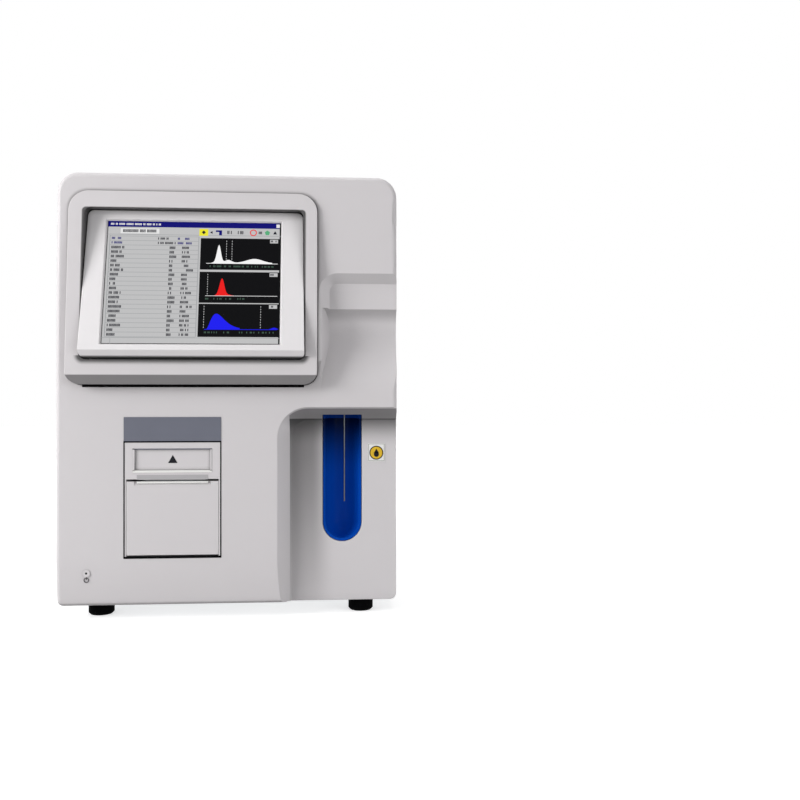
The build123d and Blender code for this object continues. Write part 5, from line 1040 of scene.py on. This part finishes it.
# %% Draw the page: three empty histograms
GRAPH_X0, GRAPH_X1 = 90.2, 167.6
AXIS_IN = 6
graphs = (
    (16.6, 49.4, 42.6, ui_white), (51.6, 83.4, 76.0, ui_pale), (84.4, 117.8, 110.0, ui_blue),
)
for number, (y0, y1, base, line) in enumerate(graphs):
    field(GRAPH_X0, y0, GRAPH_X1, y1, 1, ui_black)
    field(GRAPH_X0 + AXIS_IN, base, GRAPH_X1 - 2, base + 0.5, 2, line)
    dashes(GRAPH_X0 + AXIS_IN, GRAPH_X1 - 5, base + 2.4, 1, 4, 1.7, ui_tick,
           seed=20 + number, fill=0.45)
    field(157.8, y0 + 0.8, 165.6, y0 + 4.6, 2, ui_grey)
    dashes(158.6, 165, y0 + 1.6, 1, 4, 1.9, ui_ink, layer=3, seed=30 + number)
print("histograms:", len(graphs))

# %% [markdown]
# White cells have a high narrow peak, a low shoulder and a broad hump. Red cells make one
# peak, and platelets rise steeply and fall slowly. Dotted lines part the groups of cells.

# %% Draw the page: the curves
DOTS = 9


def white_cells(x):
    """Height of the white cell curve in millimetres."""
    return bump(x, 108.2, 2.7, 18.8) + bump(x, 117.5, 4.5, 3.0) + bump(x, 143, 11, 4.3) + 0.5


def red_cells(x):
    """Height of the red cell curve."""
    return bump(x, 112.0, 3.3, 17.6) + bump(x, 118.5, 3.5, 0.9)


def platelets(x):
    """Height of the platelet curve: a fast rise and a long tail."""
    along = max(0.0, (x - 98.0) / 9.5)
    return 15.6 * (along * math.exp(1 - along)) ** 2.2


hill(101.3, 160.3, 42.6, white_cells, ui_white)
hill(103.5, 124.0, 76.0, red_cells, ui_red)
hill(98.2, 130.0, 110.0, platelets, ui_blue)
hill(158.5, 167.0, 110.0, lambda x: bump(x, 163, 3.5, 1.8), ui_blue)
for x, y0, y1 in ((115.2, 19.0, 42.6), (120.6, 19.0, 42.6), (97.9, 53.8, 76.0),
                  (95.3, 86.5, 110.0), (149.6, 86.5, 110.0)):
    for dot in range(DOTS):
        y = y0 + dot * (y1 - y0) / DOTS
        field(x, y, x + 0.5, y + (y1 - y0) / 16, 2, ui_grey)

screen_picture = join("screen_picture", picture, "root")
print("fields on the screen:", len(picture))

# %% [markdown]
# ## Plates and prints on the case
#
# Above the printer sits a grey-blue plate, as wide as the printer and a little more. It starts
# as a box at its size, and its four corners are rounded by a bevel on the edges that run from
# front to back. Like all prints here it bears no words.

# %% The grey-blue plate above the printer
PLATE_OUT = 0.3
PLATE_T = 0.4
PLATE_H = 23.3
PLATE_UP = 1.0
PLATE_CORNER = 1.2
SAME_PLACE = 1e-6

printer_low, printer_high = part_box("printer_frame")
cover_face = printer_low.y
plate_w = (printer_high.x - printer_low.x) / MM + 2 * PLATE_OUT
plate_place = Vector(((printer_low.x + printer_high.x) / 2, cover_face,
                      printer_high.z + (PLATE_UP + PLATE_H / 2) * MM))
bpy.ops.mesh.primitive_cube_add(size=1)
plate = laid(workplane(plate_place), 0, 0, PLATE_T / 2, plate_foil,
             plate_w, PLATE_H, PLATE_T)
plate = join("notice_plate", [plate], "root")
mesh = edit(plate)
for edge in mesh.edges:
    a, b = edge.verts
    edge.select = abs(a.co.x - b.co.x) < SAME_PLACE and abs(a.co.z - b.co.z) < SAME_PLACE
leave_edit(plate, bpy.ops.mesh.bevel, offset=PLATE_CORNER * MM, segments=5)
print("plate in mm:", round(plate_w, 1), "by", PLATE_H)

# %% [markdown]
# The release button of the printer carries a printed triangle. A disc with three corners is
# one, laid on the face of the button, and it rides on the button when that is pressed.

# %% The triangle on the release button
TRIANGLE_R = 5.3
TRIANGLE_DOWN = 0.6
PRINT_LIFT = 0.06

button_low, button_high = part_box("printer_latch")
button = on_front(button_low, button_high, button_low.y)
triangle = disc(button, 0, -TRIANGLE_DOWN, TRIANGLE_R, PRINT_LIFT, print_ink, 3)
latch_mark = join("latch_mark", [triangle], "printer_latch")
print("triangle radius:", TRIANGLE_R)

# %% [markdown]
# The power light is a small lens in a raised rim, with a standby sign printed below it: a ring
# that is open at its top and a stroke in the opening. The cover already begins to roll under
# here, so the print is set back a little to follow it.

# %% The power light's rim and the standby sign
RIM_R, RIM_BAND, RIM_LIFT = 3.6, 2.5, 0.3
STANDBY_R, STANDBY_BAND = 2.5, 0.7
STANDBY_DOWN, STANDBY_BACK = 6.6, 0.35
OPEN_HALF = 0.8
STROKE_HALF, STROKE_FROM, STROKE_PAST = 0.35, 0.3, 0.4

lens_low, lens_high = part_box("power_led")
lens = on_front(lens_low, lens_high, cover_face)
down = Matrix.Translation((0, STANDBY_BACK * MM, -STANDBY_DOWN * MM))
standby_plane = down @ lens
lens_ring = ring(lens, 0, 0, RIM_R, RIM_BAND, RIM_LIFT, cover_plastic)
lens_rim = join("lens_rim", [lens_ring], "root")
standby = [
    ring(standby_plane, 0, 0, STANDBY_R, STANDBY_BAND, PRINT_LIFT, print_ink,
         lambda p: not (p.y > 0 and abs(p.x) < OPEN_HALF)),
    tile(standby_plane, -STROKE_HALF, STROKE_FROM, STROKE_HALF, STANDBY_R + STROKE_PAST,
         PRINT_LIFT, print_ink),
]
power_mark = join("power_mark", standby, "root")
print("standby sign radius:", STANDBY_R)

# %% [markdown]
# A square sign beside the trough marks the sample place. It is a thin white label with a black
# line, a yellow disc and a drop, which is a disc with a triangle on it. Each print lies a
# little in front of the one below, so that no two faces fight.

# %% The sign with a drop beside the sample place
SIGN_W, SIGN_H, SIGN_T = 17.2, 18.2, 0.3
SIGN_X, SIGN_Z = 145.2, 161.5
LINE_IN, LINE_W = 0.6, 0.3
DISC_V, DISC_R, DISC_LINE = -0.4, 7.0, 1.0
DROP_V, DROP_R = -2.0, 2.6
TIP_V, TIP_R = 0.8, 3.0

recess_wall = min(v.co.y for v in nodes["start_paddle"].data.vertices)
sign_plane = workplane(Vector((SIGN_X * MM, recess_wall, SIGN_Z * MM)))
bpy.ops.mesh.primitive_cube_add(size=1)
sign = [laid(sign_plane, 0, 0, SIGN_T / 2, sign_white, SIGN_W, SIGN_H, SIGN_T)]
for inset, layer, material in ((LINE_IN, 1, print_ink), (LINE_IN + LINE_W, 2, sign_white)):
    half_w, half_h = SIGN_W / 2 - inset, SIGN_H / 2 - inset
    sign.append(tile(sign_plane, -half_w, -half_h, half_w, half_h,
                     SIGN_T + layer * PRINT_LIFT, material))
for v, radius, layer, material, corners in (
    (DISC_V, DISC_R, 3, print_ink, 40), (DISC_V, DISC_R - DISC_LINE, 4, sign_yellow, 40),
    (DROP_V, DROP_R, 5, print_ink, 24), (TIP_V, TIP_R, 5, print_ink, 3),
):
    sign.append(disc(sign_plane, 0, v, radius, SIGN_T + layer * PRINT_LIFT, material, corners))
sample_mark = join("sample_mark", sign, "root")
print("layers of the sign:", len(sign))

# %% [markdown]
# ## Painted shade in the gaps, and rims and lips on the front
#
# Below the screen surround and all about the printer, the gap to the cover lies in shade. That
# shade is painted: thin black bars lie on the cover there, one strip below the surround and a
# frame of four bars that follows the box of the printer.

# %% Painted shade in the gaps
SHADE_BAR_T = 0.15
GAP_SHADE_SIDE, GAP_SHADE_TOP, GAP_SHADE_FOOT = 1.1, 1.6, 2.0
GAP_SHADE_OUT, GAP_SHADE_OUT_TOP = 0.6, 1.2
POD_SHADE_H, POD_SHADE_UP = 2.6, 1.0
POD_SHADE_IN = 13.0

cover_plane = workplane(Vector((0, cover_face, 0)))
u0, u1 = printer_low.x / MM - GAP_SHADE_OUT, printer_high.x / MM + GAP_SHADE_OUT
v0, v1 = printer_low.z / MM - GAP_SHADE_OUT, printer_high.z / MM + GAP_SHADE_OUT_TOP
# Four black bars paint the shade in the gap about the printer.
shade_frame = [
    bar(cover_plane, *corners, 0, SHADE_BAR_T, black_rubber)
    for corners in ((u0, v0, u0 + GAP_SHADE_SIDE, v1), (u1 - GAP_SHADE_SIDE, v0, u1, v1),
                    (u0, v1 - GAP_SHADE_TOP, u1, v1), (u0, v0, u1, v0 + GAP_SHADE_FOOT))
]
printer_gap_shade = join("printer_gap_shade", shade_frame, "root")

pod_low, pod_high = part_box("screen_surround")
# One black strip paints the shade in the gap below the screen surround.
pod_gap_shade = join("pod_gap_shade", [
    bar(cover_plane, pod_low.x / MM + POD_SHADE_IN, pod_low.z / MM - POD_SHADE_H,
        pod_high.x / MM - POD_SHADE_IN, pod_low.z / MM + POD_SHADE_UP, 0, SHADE_BAR_T, black_rubber)
], "root")
print("seal round the printer in mm:", round(u1 - u0, 1), "by", round(v1 - v0, 1))

# %% [markdown]
# A raised rim runs about the release button: light catches its foot, and its top edge is dark.
# Four bars make it, so that each side can have the finish that the light gives it there.

# %% The rim about the release button
RIM_T = 0.25
RIM_LEFT, RIM_RIGHT, RIM_FOOT = 1.9, 1.5, 2.4
RIM_UP = 0.9
RIM_OVERLAP = 0.1

b0, b1 = button_low.x / MM, button_high.x / MM
c0, c1 = button_low.z / MM, button_high.z / MM
rim = [
    bar(cover_plane, *corners, 0, RIM_T, material)
    for corners, material in (
        ((b0 - RIM_LEFT, c0 - RIM_UP, b0 + RIM_OVERLAP, c1 + RIM_UP), printer_plastic),
        ((b1 - RIM_OVERLAP, c0 - RIM_UP, b1 + RIM_RIGHT, c1 + RIM_UP), printer_plastic),
        ((b0 - RIM_LEFT, c0 - RIM_FOOT, b1 + RIM_RIGHT, c0 - RIM_OVERLAP), sign_white),
        ((b0 - RIM_LEFT, c1 + RIM_OVERLAP, b1 + RIM_RIGHT, c1 + RIM_UP), plate_foil),
    )
]
button_rim = join("button_rim", rim, "root")
print("bars of the rim:", len(rim))

# %% [markdown]
# The paper leaves through a slot over the printer door. Behind it the frame lies in shade,
# which a grey bar paints, and the door ends in a round lip whose pale finish is a painted
# highlight. The lip is a cylinder turned on its side, and it rides on the door.

# %% The paper slot and its lip
CHUTE_H, CHUTE_UP = 4.6, 1.6
LIP_R = 1.1
LIP_IN = 10.0
LIP_CORNERS = 20

door_low, door_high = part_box("printer_door")
chute_v = door_high.z / MM + CHUTE_UP
# A grey bar paints the shade behind the paper slot.
chute = join("chute_shade", [
    bar(cover_plane, door_low.x / MM + LIP_IN, chute_v, door_high.x / MM - LIP_IN,
        chute_v + CHUTE_H, 0, SHADE_BAR_T, chute_shade_grey)
], "root")
bpy.ops.mesh.primitive_cylinder_add(vertices=LIP_CORNERS, radius=LIP_R * MM,
                                    depth=door_high.x - door_low.x - 2 * LIP_IN * MM)
lip = bpy.context.object
lip.matrix_world = Matrix.Translation((
    (door_low.x + door_high.x) / 2, door_low.y + 0.5 * LIP_R * MM, door_high.z - LIP_R * MM
)) @ Matrix.Rotation(math.radians(90), 4, "Y")
# The pale sign white paints the highlight on the lip.
lip.data.materials.append(sign_white)
lip = join("slot_lip", [lip], "printer_door")
print("length of the lip in mm:", round((door_high.x - door_low.x) / MM - 2 * LIP_IN, 1))

# %% [markdown]
# ## The back and the underside
#
# The rear panel is held by cross-head screws, as are the fan and the base plate. One head is
# modelled as a short cylinder with a rounded edge, and two bars are cut out of it for the
# cross. It is made at its size in millimetres, because the planes bring it to metres.

# %% One cross-head screw
HEAD_R, HEAD_H, HEAD_ROUND = 2.8, 1.3, 0.4
CROSS_W, CROSS_L, CROSS_DEEP = 0.8, 3.4, 0.8

bpy.ops.mesh.primitive_cylinder_add(vertices=24, radius=HEAD_R, depth=HEAD_H,
                                    location=(0, 0, HEAD_H / 2))
screw = bpy.context.object
screw.data.materials.append(screw_zinc)
rounding = screw.modifiers.new("rounding", "BEVEL")
rounding.width = HEAD_ROUND
rounding.segments = 3
bpy.ops.object.modifier_apply(modifier=rounding.name)
for across, along in ((CROSS_W, CROSS_L), (CROSS_L, CROSS_W)):
    bpy.ops.mesh.primitive_cube_add(size=1, location=(0, 0, HEAD_H))
    cutter = bpy.context.object
    cutter.scale = (across, along, 2 * CROSS_DEEP)
    bpy.context.view_layer.objects.active = screw
    cut = screw.modifiers.new("cross", "BOOLEAN")
    cut.operation = "DIFFERENCE"
    cut.object = cutter
    bpy.ops.object.modifier_apply(modifier=cut.name)
    bpy.data.objects.remove(cutter)
print("faces of a screw head:", len(screw.data.polygons))

# %% [markdown]
# Every screw is a copy of that head with its own mesh. A fitter leaves each cross at another
# angle, so each copy is turned by chance, the same way at every run.

# %% Screws in the rear panel, the fan and the base
EDGE_IN = 9.0
FOOT_UP = 3.0
MIDDLE_U = 60.0
FAN_PITCH = 71.5
MOST_TURN = 1.6


def screws(name, plane, places, body):
    """Copies of the screw at places on a plane."""
    chance = random.Random(name)
    copies = []
    for u, v in places:
        bpy.ops.object.select_all(action="DESELECT")
        screw.select_set(True)
        bpy.context.view_layer.objects.active = screw
        bpy.ops.object.duplicate()
        twin = bpy.context.object
        twin.matrix_world = (plane @ Matrix.Translation((u, v, 0))
                             @ Matrix.Rotation(chance.uniform(0, MOST_TURN), 4, "Z"))
        copies.append(twin)
    heads = join(name, copies, body)
    print(name + ":", len(copies))


rear_low, rear_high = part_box("rear_panel")
rear_plane = workplane(Vector((0, rear_high.y, 0)), FACE_BACK)
side_u = rear_high.x / MM - EDGE_IN
low_v, top_v = rear_low.z / MM + EDGE_IN + FOOT_UP, rear_high.z / MM - EDGE_IN
rear_places = [(side * side_u, v) for side in (-1, 1)
               for v in (low_v, (low_v + top_v) / 2, top_v)]
rear_places += [(side * MIDDLE_U, v) for v in (top_v, low_v) for side in (-1, 1)]
screws("rear_screws", rear_plane, rear_places, "root")

guard_low, guard_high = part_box("fan_guard")
guard_middle = (guard_low + guard_high) / 2
guard_plane = workplane(Vector((guard_middle.x, guard_high.y, guard_middle.z)), FACE_BACK)
screws("fan_screws", guard_plane,
       [(i * FAN_PITCH / 2, j * FAN_PITCH / 2) for i in (-1, 1) for j in (-1, 1)], "root")

base_low, base_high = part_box("base_plate")
base_plane = workplane(Vector((0, 0, base_low.z)), FACE_DOWN)
base_u = base_high.x / MM - EDGE_IN
base_rows = (-base_low.y / MM - EDGE_IN, 0.0, -base_high.y / MM + EDGE_IN)
screws("base_screws", base_plane,
       [(side * base_u, v) for side in (-1, 1) for v in base_rows], "root")
bpy.data.objects.remove(screw)

# %% [markdown]
# A bare rating plate of milled aluminium sits on the rear panel, level with the fan. It is a
# thin sheet without words.

# %% The rating plate
RATING_W, RATING_H, RATING_T = 80.0, 42.0, 0.3
RATING_X = 85.0

rating_place = Vector((RATING_X * MM, rear_high.y, guard_middle.z))
bpy.ops.mesh.primitive_cube_add(size=1)
rating = laid(workplane(rating_place, FACE_BACK), 0, 0, RATING_T / 2, milled_aluminium,
              RATING_W, RATING_H, RATING_T)
rating = join("rating_plate", [rating], "root")
print("rating plate in mm:", RATING_W, "by", RATING_H)

# %% [markdown]
# ## Lead screws
#
# The two lead screws are plain rods in the construction. Each is replaced by a core with a
# right-hand thread of several starts: the profile of one lead is a zigzag line, and the screw
# modifier winds it about the axis. A relief in the material would leave the outline smooth.
# Its valleys reach just into the core, so that the edges of the strip are hidden there.

# %% Wind the threads
THREAD_PITCH, THREAD_DEEP, THREAD_IN = 2.0, 0.5, 8.0
CORE_SHARE = 0.9
CORE_CORNERS, WINDING_STEPS = 32, 24
WELD = 0.001 * MM


def winding_turns(low, high, lead):
    """How many leads of thread fit between its two ends; the profile itself is one of them."""
    return int((high.z - low.z - 2 * THREAD_IN * MM) / lead)


def threaded_rod(name, node, starts):
    """Replaces a rod, on the body of its own name, by a core and a thread of some starts."""
    low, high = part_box(node)
    middle = (low + high) / 2
    radius = (high.x - low.x) / 2
    lead = THREAD_PITCH * starts * MM
    turns = winding_turns(low, high, lead)
    bpy.ops.mesh.primitive_grid_add(x_subdivisions=1, y_subdivisions=2 * starts, size=2,
                                    location=(middle.x, middle.y, low.z + THREAD_IN * MM))
    thread = bpy.context.object
    mesh = edit(thread)
    for vertex in mesh.verts:
        vertex.select = vertex.co.x > 0
    bpy.ops.mesh.delete(type="VERT")
    mesh = bmesh.from_edit_mesh(thread.data)
    for vertex in mesh.verts:
        step = round((vertex.co.y + 1) * starts)
        sunk = 0.0 if step % 2 else THREAD_DEEP * MM
        vertex.co = (radius - sunk, 0, step * lead / (2 * starts))
    leave_edit(thread)
    winding = thread.modifiers.new("winding", "SCREW")
    winding.screw_offset = lead
    winding.iterations = turns - 1
    winding.steps = winding.render_steps = WINDING_STEPS
    winding.use_merge_vertices = True
    winding.merge_threshold = WELD
    bpy.ops.object.modifier_apply(modifier=winding.name)
    thread.data.materials.append(bright_steel)
    bpy.ops.mesh.primitive_cylinder_add(
        vertices=CORE_CORNERS, radius=radius - CORE_SHARE * THREAD_DEEP * MM,
        depth=high.z - low.z, location=middle)
    core = bpy.context.object
    core.data.materials.append(bright_steel)
    rod = join(name, [core, thread], node)
    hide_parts(node)
    print(name, "lead in mm:", round(lead / MM, 1), "turns:", turns - 1)


threaded_rod("probe_screw_thread", "probe_screw", starts=4)
threaded_rod("syringe_screw_thread", "syringe_screw", starts=3)

# %% [markdown]
# ## Tubing in the fluidics bay
#
# Silicone tubes join the ports of the baths, the syringes, the chamber and the pump. Each
# runs through a few places in millimetres and leaves its first port and enters its last one
# along the port's own direction. A NURBS path of order 3 bends smoothly between them, and its
# bevel gives it the round section of a tube.

# %% Lay the tubes
TUBE_R = 1.7
ROUNDNESS, SMOOTHNESS = 3, 6
tube_routes = {
    "white_bath_drain": [(85, -65, 122), (84, -64, 114), (52, -58, 113), (51, -57, 105)],
    "red_bath_drain": [(85, -22, 122), (84, -23, 114), (52, -34, 113), (51, -35, 105)],
    "diluent_line": [(76, 40, 310), (76, 38, 322), (72, 20, 325), (68, 11.5, 300),
                     (66, 11.5, 200), (62, 11.5, 130), (54, -6, 114), (51, -13, 105)],
    "reagent_line": [(76, 96, 310), (76, 100, 322), (76, 118, 325), (76, 135, 300),
                     (76, 142, 200), (75, 144, 142), (75, 152, 120), (75, 170, 120)],
    "waste_line": [(95, 170, 120), (95, 158, 119), (95, 140, 100), (93, 115, 58),
                   (90, 92, 47), (92, 82, 46), (99, 80, 46)],
    "vacuum_line": [(115, 170, 120), (115, 158, 121), (117, 110, 132), (123, 30, 140),
                    (125, 14, 136), (125, 12, 125)],
    "air_line": [(135, 170, 120), (135, 158, 121), (136, 100, 134), (134, 10, 146),
                 (126, -10, 138), (125, -12, 125)],
}
for name, route in tube_routes.items():
    bpy.ops.curve.primitive_nurbs_path_add(location=(0, 0, 0))
    tube = bpy.context.object
    tube.name = name
    spline = tube.data.splines[0]
    spline.points.add(max(0, len(route) - len(spline.points)))
    route = route + route[-1:] * (len(spline.points) - len(route))
    for point, (x, y, z) in zip(spline.points, route):
        point.co = (x * MM, y * MM, z * MM, 1)
    spline.use_endpoint_u = True
    spline.order_u = 3
    tube.data.bevel_depth = TUBE_R * MM
    tube.data.bevel_resolution = ROUNDNESS
    tube.data.resolution_u = SMOOTHNESS
    tube.data.materials.append(silicone)
    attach(tube, "root")
print("tubes:", len(tube_routes))
